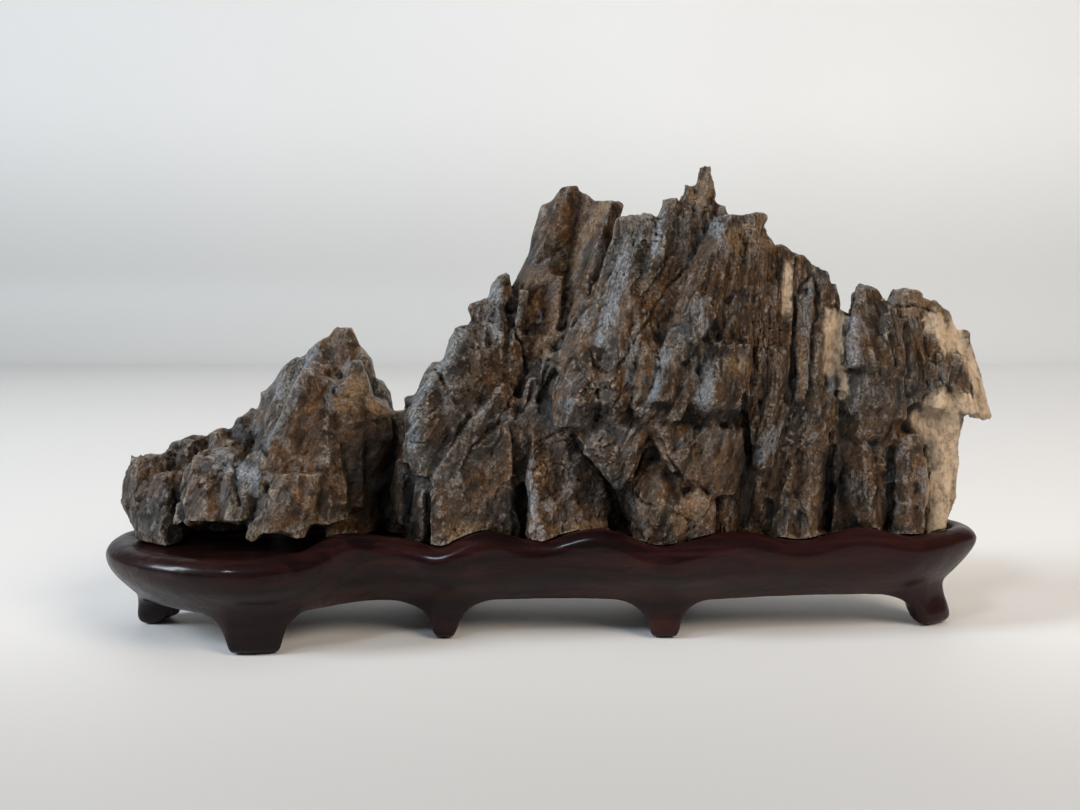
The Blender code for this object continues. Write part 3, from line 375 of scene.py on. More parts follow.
def add_rib(bm, rib, rng):
    """Adds the convex shard through a rib's three cross-sections."""
    (xf, zf), (xt, zt) = rib.foot, rib.tip
    mean_half, mean_front = sum(rib.half) / 2, sum(rib.front) / 2
    mid = rib.mid or ((xf + xt) / 2, (zf + zt) / 2, 1.06 * mean_half)
    mid_y = mid[3] if len(mid) > 3 else mean_front - 0.04 * mean_half
    levels = [
        (seen(xf, zf, rib.front[0]), rib.half[0], rib.deep[0], 0.0),
        (seen(mid[0], mid[1], mid_y), mid[2], sum(rib.deep) / 2, rib.tilt / 3),
        (seen(xt, zt, rib.front[1]), rib.half[1], rib.deep[1], rib.tilt),
    ]
    corners = []
    for centre, half, deep, tilt in levels:
        corners += section(centre, half, deep, rib.keel, rib.flat, tilt, rng)
    on_seat_corners = on_seat(corners[:6]) + corners[6:]
    verts = [bm.verts.new((c - ORIGIN) * MM) for c in on_seat_corners]
    hull = bmesh.ops.convex_hull(bm, input=verts)
    inside = {v for v in hull["geom_interior"] if isinstance(v, bmesh.types.BMVert)}
    bmesh.ops.delete(bm, geom=list(inside), context="VERTS")


def back_ribs(rng):
    """Buttresses of the back, with crests behind the front's skyline, and the blocks stacked on them."""
    for foot_x, crest_x, crest, back in BACK:
        front = rng.uniform(-1, 2)
        rise = crest - SEAT
        half = rng.uniform(4, 6)
        yield Rib((foot_x, SEAT), (crest_x, crest), (half, rng.uniform(1.6, 3)), (front, front + 4),
                  (back - front - 2, rng.uniform(5, 8)), tilt=rng.uniform(-25, 25),
                  mid=((foot_x + crest_x) / 2, SEAT + rise * rng.uniform(0.4, 0.6), half * 0.9))
        for start in (0.0, 0.22, 0.45):
            low = start + rng.uniform(-0.05, 0.1)
            high = low + rng.uniform(0.22, 0.42)
            x = min(max(foot_x + (crest_x - foot_x) * low + rng.uniform(-5, 5), -80), 76)
            lean = rise * (high - low) * rng.uniform(0.0, 0.5)
            reach = (back - front) * (1 - 0.55 * max(low, 0)) + rng.uniform(-1, 0.5)
            yield Rib((x, SEAT + rise * low), (x + lean, SEAT + rise * high),
                      (rng.uniform(3, 6), rng.uniform(1, 3)), (front + 1, front + 2),
                      (reach, reach * rng.uniform(0.55, 0.8)), tilt=rng.uniform(-40, 40))


def shards_mesh():
    bm = bmesh.new()
    rng = random.Random(7)
    for group in FRONT_GROUPS:
        for rib in group:
            add_rib(bm, rib, rng)
    for rib in back_ribs(rng):
        add_rib(bm, rib, rng)
    return mesh_from(bm, "rock_shards")


# ---------------------------------------------------------------- noise, on numpy arrays of points

def scramble(cell, seed):
    """A repeatable 32-bit number for each whole-number grid cell."""
    c = cell.astype(np.int64).astype(np.uint32)
    h = c[:, 0] * np.uint32(374761393) + c[:, 1] * np.uint32(668265263) + c[:, 2] * np.uint32(2246822519)
    h += np.uint32(seed * 3266489 % 2**32)
    h ^= h >> np.uint32(15)
    h *= np.uint32(2246822519)
    h ^= h >> np.uint32(13)
    h *= np.uint32(3266489917)
    return h ^ (h >> np.uint32(16))


def shares(h):
    """Three numbers from 0 to 1 out of one scrambled number."""
    thirds = [(h >> np.uint32(bits)) & np.uint32(1023) for bits in (0, 10, 20)]
    return np.stack(thirds, axis=1) / 1023.0


def cells(q, seed):
    """Voronoi cells: distance to the nearest and the second point, the way from the nearest, its number."""
    base = np.floor(q).astype(np.int64)
    near = np.full(len(q), 99.0)
    second = near.copy()
    way = np.zeros_like(q)
    number = np.zeros(len(q), np.uint32)
    for dx in (-1, 0, 1):
        for dy in (-1, 0, 1):
            for dz in (-1, 0, 1):
                cell = base + (dx, dy, dz)
                h = scramble(cell, seed)
                to = q - (cell + 0.05 + 0.9 * shares(h))
                d = np.einsum("ij,ij->i", to, to)
                closer = d < near
                second = np.where(closer, near, np.minimum(second, d))
                near = np.where(closer, d, near)
                way[closer] = to[closer]
                number = np.where(closer, h, number)
    return np.sqrt(near), np.sqrt(second), way, number


def noise(q, seed, octaves=1):
    """Smooth noise from -1 to 1."""
    total = np.zeros(len(q))
    size = 1.0
    for octave in range(octaves):
        p = q * 2.03**octave
        base = np.floor(p)
        f = p - base
        f = f * f * (3 - 2 * f)
        value = np.zeros(len(q))
        for dx in (0, 1):
            for dy in (0, 1):
                for dz in (0, 1):
                    h = scramble(base + (dx, dy, dz), seed + 17 * octave)
                    weight = ((f[:, 0] if dx else 1 - f[:, 0]) * (f[:, 1] if dy else 1 - f[:, 1])
                              * (f[:, 2] if dz else 1 - f[:, 2]))
                    value += weight * ((h >> np.uint32(8)) / 2.0**23 - 1)
        total += size * value
        size *= 0.5
    return total / (2 - 2 * size)


def smooth(t):
    t = np.clip(t, 0, 1)
    return t * t * (3 - 2 * t)


# ---------------------------------------------------------------- rock surface

def edge_ends(mesh):
    ends = np.empty(len(mesh.edges) * 2, np.int64)
    mesh.edges.foreach_get("vertices", ends)
    return ends.reshape(-1, 2)


class Neighbours:
    """Averages a value over each vertex's neighbours."""

    def __init__(self, mesh):
        ends = edge_ends(mesh)
        self.a = np.concatenate([ends[:, 0], ends[:, 1]])
        self.b = np.concatenate([ends[:, 1], ends[:, 0]])
        self.count = np.bincount(self.a, minlength=len(mesh.vertices)).astype(float)

    def mean(self, values):
        sums = [np.bincount(self.a, column[self.b], len(self.count)) for column in values.T]
        return np.stack(sums, axis=1) / self.count[:, None]

    def relaxed(self, values, rounds, pull=0.5):
        for _ in range(rounds):
            values = values * (1 - pull) + self.mean(values) * pull
        return values


def unit(v):
    return v / np.maximum(np.linalg.norm(v, axis=1), 1e-12)[:, None]


# Lean of the strata, in degrees to the right of upright, against x in mm
LEAN = [
    (-92, 20), (-70, 26), (-45, 24), (-30, 30), (0, 30), (12, 32), (26, 25), (38, 14), (47, 3), (60, 0),
    (92, -4),
]


def strata(p):
    """Coordinates in mm along the layers: across them, in depth, and along the way they run."""
    lean = np.radians(np.interp(p[:, 0], *zip(*LEAN)) + 5 * noise(p * 0.06, 3))
    across = p[:, 0] * np.cos(lean) - p[:, 2] * np.sin(lean)
    along = p[:, 0] * np.sin(lean) + p[:, 2] * np.cos(lean)
    return np.stack([across, p[:, 1], along], axis=1)


def facets(g, size, seed, tilt=1.0, step=0.5):
    """Flat, tilted facets with steps between them. size is a facet's size across, in depth and along."""
    near, second, way, number = cells(g / size, seed)
    lean = shares(number) - 0.5
    raised = shares(scramble(np.stack([number] * 3, axis=1), 5))[:, 0] - 0.5
    return 2 * tilt * np.einsum("ij,ij->i", way, lean) + 2 * step * raised, second - near


def moved(mesh, amount):
    """Pushes the surface out by amount, in mm, along its smoothed normals. Faces on the tray stay flat."""
    p = points_of(mesh)
    soft = unit(Neighbours(mesh).relaxed(per_vertex(mesh, "normal"), 5))
    fixed = smooth((p[:, 2] - SEAT - 0.05) / 1.5)
    p = p + soft * (amount * fixed)[:, None]
    p[:, 2] = np.maximum(p[:, 2], SEAT)
    put_points(mesh, p)


def waver(p):
    return np.stack([noise(p * 0.11, s, 2) for s in (11, 12, 13)], axis=1)


def calm(p):
    """Less than 1 on the left hill and the second peak, whose faces are plainer."""
    hill = np.interp(p[:, 0], (-68, -62, -34, -28), (1.0, 0.5, 0.5, 1.0))
    peak = smooth((p[:, 2] - 58) / 8) * smooth((14 - np.abs(p[:, 0] - 2)) / 4) * smooth((p[:, 1] + 8) / 4)
    return hill * (1 - 0.5 * peak)


def hew(mesh):
    """The big cleaved faces, and the knobs and pits of the lumpy ends."""
    p = points_of(mesh)
    warp = waver(p)
    g = strata(p) + 1.6 * warp
    big, _ = facets(g, FACES, 31, tilt=1.2, step=0.5)
    mid, _ = facets(g, SLABS, 32, tilt=1.1, step=0.3)
    lumpy = np.interp(p[:, 0], (-80, -66, -55), (1.0, 0.9, 0.1))
    lumps, _, _, _ = cells(p * 0.30 + 0.5 * warp, 61)
    cleaved = calm(p) * (1 - 0.5 * lumpy) * (0.6 * big + 0.38 * mid)
    moved(mesh, cleaved + lumpy * 1.3 * (0.5 - lumps) + 0.1)


def front_view(p):
    """x and z at which the viewing point sees each point, in the plane y = 0."""
    reach = 1 - p[:, 1] / EYE.y
    return EYE.x + (p[:, 0] - EYE.x) / reach, EYE.z + (p[:, 2] - EYE.z) / reach


def distance(x, z, points):
    """How far each x, z is from the line through front-view points, in mm."""
    least = np.full(len(x), 999.0)
    for (x0, z0), (x1, z1) in zip(points, points[1:]):
        dx, dz = x1 - x0, z1 - z0
        t = np.clip(((x - x0) * dx + (z - z0) * dz) / (dx * dx + dz * dz), 0, 1)
        least = np.minimum(least, np.hypot(x - x0 - t * dx, z - z0 - t * dz))
    return least


# Cracks and crevices: front-view points of each, its half width, its depth, and the y that it ends behind
CLEFTS = [
    ([(-17, 43), (-18.6, 40.8), (-20.6, 38), (-25.5, 30.5)], 0.9, 1.3, -6),
    ([(-12, 41.5), (-14.6, 38), (-16.4, 36.6), (-20, 30)], 0.7, 0.9, -6),
    ([(-6, 49), (-8.6, 45.6), (-10, 42.6), (-13.5, 39.5)], 0.7, 0.9, -4),
    ([(-24, 53), (-22.4, 50), (-21.6, 47.6), (-19.5, 45.5)], 0.6, 0.8, -4),
    ([(-8, 41), (-6.4, 34), (-7.2, 27), (-7.8, 17)], 1.3, 1.6, 0),
    ([(-3.5, 50), (-4.2, 47), (-6, 44)], 0.8, 1.2, 2), ([(1, 52), (-0.6, 49), (-2.5, 46)], 0.8, 1.2, 2),
    ([(4, 62), (5.4, 64.6), (8, 66)], 0.7, 1.0, -6),
    ([(28, 74.5), (24, 70), (21.6, 65), (17, 58)], 0.6, 0.7, -6),
    ([(25, 77), (22.6, 72), (19.5, 68)], 0.5, 0.6, -6),
    ([(31, 70), (28.6, 67.4), (27, 63.5)], 0.5, 0.7, -6),
    ([(34, 62.5), (31.4, 57.4), (28, 54)], 0.8, 0.9, -6),
    ([(8, 57), (9, 53.4), (11, 51.5)], 0.5, 0.6, -6), ([(5, 55), (6, 52), (8, 50)], 0.5, 0.6, -6),
    ([(17, 62), (16, 57), (14, 53)], 0.5, 0.6, -6), ([(16.5, 43), (16.8, 49)], 0.6, 0.9, -8),
    ([(9.7, 42), (9.8, 48)], 0.6, 0.9, -8),
    ([(22.4, 38), (24.2, 34), (28, 29.6), (33, 26.8)], 0.9, 1.2, -6),
    ([(20, 36), (18.6, 33), (17.5, 30.6)], 0.6, 0.9, -8),
    ([(17.5, 27), (19, 25), (22, 23.5)], 0.5, 0.6, -8),
    ([(25, 22.5), (27.4, 22.4), (29, 21)], 0.5, 0.5, -8),
    ([(40.4, 47), (40.2, 43), (41.2, 35.5)], 0.9, 1.4, -2), ([(43.4, 46), (42.4, 38)], 0.5, 0.8, -4),
    ([(50.4, 76), (50.8, 68), (50.2, 60), (50.2, 46)], 0.7, 1.2, 0),
    ([(50.5, 67), (52, 70), (54, 72)], 0.6, 0.7, 0),
    ([(54.4, 72), (54.8, 64), (54.2, 56), (53.5, 44)], 0.7, 1.1, 0),
    ([(57, 65.5), (62, 65.2)], 0.5, 0.5, 0),
    ([(62, 70), (61.4, 64), (60.4, 58), (59.6, 47)], 0.9, 1.3, 2),
    ([(59, 37), (58.2, 30), (58.4, 24), (57.6, 19)], 1.0, 1.3, 2),
    ([(70, 60), (70.6, 57), (72, 54)], 0.6, 0.7, 0),
    ([(71.6, 37), (71, 30), (71.4, 24), (70.8, 19)], 1.0, 1.3, 0),
    ([(73.5, 62), (73.8, 55), (74.5, 47)], 0.7, 1.0, 0),
    ([(71, 66), (75, 65.6), (79, 64.4)], 0.5, 0.6, 2),
    ([(79.5, 56), (81.4, 51), (84, 47)], 0.6, 0.7, 2),
    ([(-59.5, 28), (-61, 24), (-64.5, 20.5)], 0.9, 1.2, -6),
    ([(-66.6, 43), (-65, 40), (-62.6, 38), (-59.4, 34.5)], 1.0, 1.3, -2),
    ([(-78.4, 35), (-78.2, 31), (-79, 27), (-77.5, 20)], 1.0, 1.3, -2),
    ([(-66, 34), (-66.4, 29), (-65.6, 24)], 0.8, 1.1, -6), ([(2, 57), (4, 66), (9, 78)], 0.5, 0.6, 2),
    ([(-9, 66), (-6, 57), (-5, 52)], 0.7, 1.0, 4),
]


def clefts(p):
    """How deep the explicit cracks and crevices are at each point, in mm."""
    x, z = front_view(p)
    x = x + 0.9 * noise(p * 0.28, 91, 3)
    z = z + 0.9 * noise(p * 0.28, 92, 3)
    cut = np.zeros(len(p))
    for points, half, depth, behind in CLEFTS:
        shape = np.clip(1 - distance(x, z, points) / half, 0, 1)
        cut = np.maximum(cut, depth * shape * smooth(behind - p[:, 1]))
    return cut * (0.7 + 0.5 * noise(p * 0.3, 93, 2))


def carve(mesh):
    """The small facets, cracks, striations, grit and pits."""
    p = points_of(mesh)
    warp = waver(p)
    g = strata(p) + 1.0 * warp
    rough = smooth(0.4 + 1.3 * noise(p * 0.07, 21, 2))

    mid, mid_edge = facets(g + 0.5 * warp, FLAKES, 33, tilt=1.3, step=0.3)
    small, small_edge = facets(g + 0.3 * warp, CHIPS, 34, tilt=1.5, step=0.4)
    ledge, _ = facets(g, LEDGES, 35, tilt=1.2, step=0.5)
    depth = 0.13 * mid + (0.02 + 0.08 * rough) * small + 0.07 * ledge

    crack = np.exp(-((mid_edge / 0.05) ** 2)) * 0.35 * smooth(2.6 * noise(p * 0.10, 42, 2) - 0.5)
    crack += np.exp(-((small_edge / 0.10) ** 2)) * 0.10 * rough
    # long joints that run down to the left across the layers
    for seed, turn, gap in ((45, 17.0, 7.5), (46, -38.0, 10.0)):
        lean = math.radians(turn)
        run = g[:, 0] * math.cos(lean) + g[:, 2] * math.sin(lean) + 0.25 * p[:, 1]
        run = run + 0.5 * noise(p * 0.5, seed)
        line = np.abs(run / gap - np.round(run / gap)) * gap
        crack += np.exp(-((line / 0.20) ** 2)) * 0.35 * smooth(2.6 * noise(p * 0.075, seed + 4, 2) - 0.3)

    ridges = np.abs(noise(g * (0.9, 0.8, 0.25), 53, 3))
    grit = 0.10 * rough * (0.3 - ridges) + 0.05 * noise(g * (1.5, 1.4, 0.5), 51, 3)
    lumpy = np.interp(p[:, 0], (-80, -66, -55, 62, 74), (1.0, 0.9, 0.1, 0.1, 0.15))
    pits, _, _, number = cells(p * 0.55 + 0.3 * warp, 62)
    chance = shares(number)[:, 0]
    pitting = lumpy * 0.5 * (chance > 0.7) * smooth(1 - pits / (0.16 + 0.24 * chance))
    moved(mesh, calm(p) * (depth - crack) + grit - np.maximum(pitting, clefts(p)))


def attribute(mesh, name, values):
    kind = "FLOAT" if values.ndim == 1 else "FLOAT_VECTOR"
    layer = mesh.attributes.new(name, kind, "POINT")
    layer.data.foreach_set("value" if kind == "FLOAT" else "vector", values.astype(np.float32).ravel())


# Veins and stains, pale stone with a painted sheen, and painted shade in recesses: front-view points of each,
# its half width, and the y that it ends behind
CREAM = [
    ([(48.7, 73.5), (48.7, 64.5)], 1.1, 4), ([(58.6, 63.5), (58.4, 53)], 1.9, 3),
    ([(60.6, 52), (60.8, 47)], 1.0, 3), ([(79, 62.5), (83, 58)], 2.4, 12),
    ([(83.5, 62), (87.5, 53), (90.6, 44)], 1.3, 12), ([(86, 46), (90.5, 43)], 2.3, 12),
    ([(81, 44), (83, 32), (82.6, 21)], 4.0, 16), ([(76.5, 43), (79, 38)], 1.4, 6),
]
TAN = [
    ([(11, 87), (5.3, 78), (3.4, 70), (1, 61), (-1.5, 56)], 1.5, 9),
    ([(-43.5, 46), (-39.5, 50)], 2.0, 4), ([(-37, 45), (-33, 44)], 1.6, 4),
    ([(39, 79), (44.5, 81)], 3.6, 4), ([(28, 20), (31, 25)], 3.0, 0),
    ([(74, 66), (79, 66), (82, 62)], 3.2, 12), ([(33, 92), (30, 88)], 2.0, 6),
    ([(52, 60), (52, 47)], 0.8, 2), ([(37.5, 55), (40.5, 53)], 1.3, 0),
    ([(-17, 19), (-21, 18)], 1.8, -8), ([(5, 18), (10, 20)], 1.8, 0),
]
OCHRE = [([(-53, 26.5), (-51, 24)], 1.8, 0), ([(29, 24), (29.6, 23.4)], 1.3, 0)]
# Pale stone and a painted sheen: facets that face the window light are painted lighter grey
PALE_STONE_AND_SHEEN_MARKS = [
    ([(19, 85), (15.6, 77), (12.8, 68), (10.4, 57.5)], 1.7, 0), ([(22.3, 85), (21.6, 77)], 1.0, 0),
    ([(31.5, 53), (32, 46)], 2.0, -8), ([(30.4, 65.5), (31.6, 60.5)], 1.3, 0),
    ([(43.4, 34.4), (46, 38.6)], 1.7, 0), ([(33.4, 83), (36, 77)], 1.2, 2),
    ([(23.5, 56), (21.3, 47.5)], 1.2, -8), ([(17, 59), (16, 50)], 0.8, -8),
    ([(-18.8, 60), (-23.6, 52.6), (-28.2, 45.6), (-28.8, 37)], 1.1, 0),
    ([(-4.6, 33), (-4, 22)], 0.8, 0), ([(-50.5, 57), (-56, 48.5)], 2.2, 20),
    ([(-50, 52.6), (-55.8, 42.6), (-61.4, 34.2)], 0.6, 0), ([(-45.2, 50), (-45.9, 45.4)], 0.9, 4),
    ([(-69, 34), (-63, 30)], 2.0, 0), ([(-11.6, 70), (-12.6, 62)], 1.5, 8),
    ([(62.4, 63), (62.8, 54)], 1.3, 0), ([(53.2, 70), (52.4, 61)], 1.0, 0),
    ([(58, 50), (58.6, 48)], 1.0, 0),
]
# Painted shade: recesses that the light does not reach, painted near black
PAINTED_SHADE_MARKS = [
    ([(-37, 39), (-36.5, 22)], 4.6, 6), ([(-66, 40.5), (-61.5, 38)], 2.4, 12),
    ([(-7.2, 28), (-7.6, 18)], 1.8, 2), ([(41, 36), (40.4, 22)], 2.2, 2),
    ([(58.2, 35), (57.6, 20)], 1.6, 4), ([(71.2, 35), (70.8, 20)], 1.4, 2),
    ([(13.5, 28), (17, 20)], 2.6, -4), ([(-30, 30), (-29, 20)], 1.6, 0),
    ([(29.5, 43), (39, 43)], 1.0, -8),
]


def per_facet(number, values):
    """Each facet's mean of the values."""
    _, facet = np.unique(number, return_inverse=True)
    return (np.bincount(facet, values) / np.bincount(facet))[facet]


def paint(mesh):
    """Stores what the stone's material reads: layers, hollows, edges, facets' tones, veins and stains, pale
    sheen and painted shade.
    """
    p = points_of(mesh)
    n = per_vertex(mesh, "normal")
    around = Neighbours(mesh)
    fine = around.relaxed(p, 2)
    near = around.relaxed(fine, 14)
    wide = around.relaxed(near, 70)
    warp = waver(p)
    g = strata(p)
    attribute(mesh, "grain", g)
    _, _, _, small = cells((g + 1.3 * warp) / CHIPS, 34)
    _, _, _, mid = cells((g + 1.5 * warp) / FLAKES, 33)
    attribute(mesh, "tone", 0.5 * shares(small)[:, 0] + 0.5 * shares(mid)[:, 0])
    # how far the surface is sunk or raised at three reaches: the material darkens the sunk places as painted
    # shade and wears raised edges lighter
    for name, surface, reach in (("edge", fine, 0.26), ("dip", near, 1.0), ("hollow", wide, 3.2)):
        inwards = np.einsum("ij,ij->i", surface - p, n)
        attribute(mesh, name, np.clip(0.5 + inwards / (2 * reach), 0, 1))
    x, z = front_view(p)
    x = 0.3 * x + 0.7 * per_facet(small, x)
    z = 0.3 * z + 0.7 * per_facet(small, z)
    ragged = 0.55 * noise(p * 0.55, 71, 3) + 0.35 * noise(p * 2.0, 72, 2)
    for name, marks in (("cream", CREAM), ("tan", TAN), ("ochre", OCHRE), ("pale", PALE_STONE_AND_SHEEN_MARKS), ("dark", PAINTED_SHADE_MARKS)):
        mask = np.zeros(len(p))
        for points, half, behind in marks:
            near_line = smooth(1.5 - distance(x, z, points) / half)
            mask = np.maximum(mask, near_line * smooth((behind - p[:, 1]) / 3))
        attribute(mesh, name, np.clip(smooth((mask + ragged * 0.5 - 0.2) / 0.7) * (mask > 0), 0, 1))


def largest_island(mesh):
    """Leaves only the biggest connected body of the mesh."""
    ends = edge_ends(mesh)
    label = np.arange(len(mesh.vertices))
    while True:
        low = np.minimum(label[ends[:, 0]], label[ends[:, 1]])
        before = label.copy()
        np.minimum.at(label, ends[:, 0], low)
        np.minimum.at(label, ends[:, 1], low)
        label = label[label]
        if (before == label).all():
            break
    keep = label == np.bincount(label).argmax()
    if keep.all():
        return
    bm = bmesh.new()
    bm.from_mesh(mesh)
    bm.verts.ensure_lookup_table()
    bmesh.ops.delete(bm, geom=[bm.verts[int(i)] for i in np.flatnonzero(~keep)], context="VERTS")
    bm.to_mesh(mesh)
    bm.free()


def modified(mesh, kind, **settings):
    """The mesh with one modifier applied."""
    body = linked("rock_body", mesh)
    modifier = body.modifiers.new(kind.lower(), kind)
    for key, value in settings.items():
        setattr(modifier, key, value)
    return applied(body)


def thinned(mesh, triangles):
    mesh.calc_loop_triangles()
    share = min(1.0, triangles / len(mesh.loop_triangles))
    return modified(mesh, "DECIMATE", ratio=share, use_collapse_triangulate=True)


def make_rock(clearance):
    mesh = modified(shards_mesh(), "REMESH", mode="VOXEL", voxel_size=FUSE_VOXEL * MM)
    largest_island(mesh)
    hew(mesh)
    mesh = thinned(mesh, FACET_TRIANGLES)
    mesh = modified(mesh, "REMESH", mode="VOXEL", voxel_size=ROCK_VOXEL * MM)
    carve(mesh)
    mesh = modified(mesh, "BOOLEAN", operation="DIFFERENCE", solver="MANIFOLD", object=clearance)
    largest_island(mesh)
    mesh = thinned(mesh, ROCK_TRIANGLES)
    paint(mesh)
    mesh.shade_smooth()
    mesh.set_sharp_from_angle(angle=CREASE)
    mesh.name = "stone"
    return linked("stone", mesh)


# Outer line of the rim in plan, x and y in mm, from the left end along the front and back
RIM_PLAN = [
    (-90.6, -4.5), (-88.4, -14), (-80.5, -22.5), (-69, -29), (-57, -31.2), (-46, -28), (-37, -21),
    (-29, -19.8), (-20.5, -21), (-10, -19.3), (2, -18.4), (12, -19.2), (23, -20.6), (34, -18.8),
    (46, -16.8), (58, -15.8), (70, -15), (80, -12), (87, -7), (88.9, 0), (86, 8.5), (76, 14.5),
    (60, 18), (40, 20), (18, 21.2), (-5, 21.8), (-28, 22), (-50, 21.6), (-68, 19), (-79.5, 13), (-87.5, 4.5),
]
# Height of the rim's crest along that line: x, front or back, height
CREST_FRONT = [
    (-92, 19.2), (-80, 19.1), (-57, 19.1), (-46, 19.8), (-38, 22.3), (-31, 21.0), (-23, 19.2), (-12, 22.0),
    (-3, 20.0), (9, 22.4), (21, 19.1), (37, 21.8), (50, 19.5), (61, 22.0), (74, 20.0), (86, 20.8), (89, 20.4),
]
CREST_BACK = [
    (-92, 19.2), (-60, 21.5), (-35, 19.8), (-10, 22), (15, 20), (40, 22), (65, 20), (80, 21.5), (89, 20.4),
]
# Feet: x and y of each on the rim line, the width of its sole, and how far its fillets run up to the apron
FEET = [
    (-90.4, 0, 12.5, 12.0), (-56, -31, 13.0, 8.5), (-21.3, -21, 6.6, 8.0), (22.5, -20.5, 7.2, 8.0),
    (85, -9, 14.0, 13.0), (26, 20.8, 7.0, 8.0), (-24, 22, 7.0, 8.0), (-66.5, 19.2, 8.0, 8.0),
]
CREST_INSET = 3.8
# Rings of the rim's cross-section: inset from the rim line, and height. "crest" counts from the crest.
RINGS = [
    (5.7, "floor", 0.0), (4.8, "crest", -0.4), (CREST_INSET, "crest", 0.0), (2.3, "crest", -0.3),
    (0.9, "crest", -1.2), (0.0, "crest", -2.9), (0.9, "wall", 13.3), (3.4, "wall", 10.6), (5.4, "wall", 8.4),
]
UNDERCUT = (70, 86, 1.9)  # x where the right end's wall begins to lean in, where it is full, and how far in
# Apron edge, sole and inner side of the feet: inset, and how far a foot is set out from it; height, and
# how far it drops at a foot
UNDER_RINGS = [
    (6.2, 0.9, UNDERSIDE + 0.8, UNDERSIDE - 2.2), (7.2, 2.6, UNDERSIDE, UNDERSIDE),
    (8.6, -2.4, UNDERSIDE, UNDERSIDE), (9.8, -3.4, UNDERSIDE, 0.0),
]


# ---------------------------------------------------------------- stand

def closed_curve(points, step):
    """Points about step apart on the smooth closed curve through the given ones."""
    line = []
    count = len(points)
    for i in range(count):
        p0, p1, p2, p3 = (Vector(points[(i + k) % count]) for k in (-1, 0, 1, 2))
        pieces = max(1, round((p2 - p1).length / step))
        for k in range(pieces):
            t = k / pieces
            line.append(0.5 * (2 * p1 + (p2 - p0) * t + (2 * p0 - 5 * p1 + 4 * p2 - p3) * t * t
                               + (3 * p1 - p0 - 3 * p2 + p3) * t ** 3))
    return line


def between(table, x):
    """Value of a smooth curve through the x, value pairs of the table."""
    if x <= table[0][0]:
        return table[0][1]
    for (x0, v0), (x1, v1) in zip(table, table[1:]):
        if x <= x1:
            t = (x - x0) / (x1 - x0)
            return v0 + (v1 - v0) * t * t * (3 - 2 * t)
    return table[-1][1]


def foot_share(point):
    """1 under a foot, 0 between the feet, with a rounded fillet on each side."""
    share = 0.0
    for x, y, sole, fillet in FEET:
        away = (point - Vector((x, y))).length - sole / 2
        t = min(max(1 - away / fillet, 0.0), 1.0)
        share = max(share, 1 - math.sqrt(1 - t * t))
    return share


def stand_columns(step):
    fine = closed_curve(RIM_PLAN, step)
    columns = []
    for i, p in enumerate(fine):
        along = fine[(i + 1) % len(fine)] - fine[i - 1]
        columns.append((p, Vector((-along.y, along.x)).normalized(), foot_share(p)))
    return columns


def crest(p):
    front = p.y < (-3.0 if p.x > -40 else -4.5)
    return between(CREST_FRONT if front else CREST_BACK, p.x)


def close_ends(mesh):
    """Fills the tray's floor and the underside."""
    bm = bmesh.new()
    bm.from_mesh(mesh)
    bmesh.ops.holes_fill(bm, edges=[e for e in bm.edges if e.is_boundary])
    bmesh.ops.recalc_face_normals(bm, faces=bm.faces)
    bm.to_mesh(mesh)
    bm.free()
    return mesh


def undercut(p):
    """How far the wall leans in below the rim, more and more towards the right end."""
    start, full, depth = UNDERCUT
    t = min(max((p.x - start) / (full - start), 0.0), 1.0)
    return depth * t * t * (3 - 2 * t)


def stand_mesh(name, step, grow=0.0, lift=0.0):
    """The stand as rings lofted round the rim line. grow and lift make the larger copy that fits the rock."""
    columns = stand_columns(step)
    rings = []
    for inset, base, dz in RINGS:
        side = grow if inset > CREST_INSET else -grow
        level = {"floor": TRAY_FLOOR, "wall": 0.0}
        share = 1.0 if base == "wall" else 0.0
        rings.append([
            (*(p + n * (inset + side + share * undercut(p))), level.get(base, crest(p)) + dz + lift)
            for p, n, _ in columns
        ])
    for inset, set_out, height, drop in UNDER_RINGS:
        rings.append([(*(p + n * (inset - set_out * s)), height - drop * s) for p, n, s in columns])
    bm = bmesh.new()
    loops = [[bm.verts.new((Vector(v) - ORIGIN) * MM) for v in ring] for ring in rings]
    count = len(columns)
    for upper, lower in zip(loops, loops[1:]):
        for i in range(count):
            j = (i + 1) % count
            bm.faces.new((upper[i], lower[i], lower[j], upper[j]))
    bmesh.ops.recalc_face_normals(bm, faces=bm.faces)
    return mesh_from(bm, name)


def make_stand():
    cage = linked("stand_cage", stand_mesh("stand_cage", STAND_STEP))
    rounding = cage.modifiers.new("rounding", "SUBSURF")
    rounding.levels = rounding.render_levels = 2
    mesh = close_ends(applied(cage))
    p = points_of(mesh)
    n = per_vertex(mesh, "normal")
    dents = 0.22 * noise(p * (0.09, 0.14, 0.14), 81, 2) + 0.07 * noise(p * (0.3, 0.5, 0.5), 82, 2)
    settled = smooth(p[:, 2] / 2.5)
    p = p + n * (dents * settled)[:, None]
    p[:, 2] = np.maximum(p[:, 2], 0)
    put_points(mesh, p)
    mesh.shade_smooth()
    mesh.name = "carved_stand"
    return linked("carved_stand", mesh)


# ---------------------------------------------------------------- materials

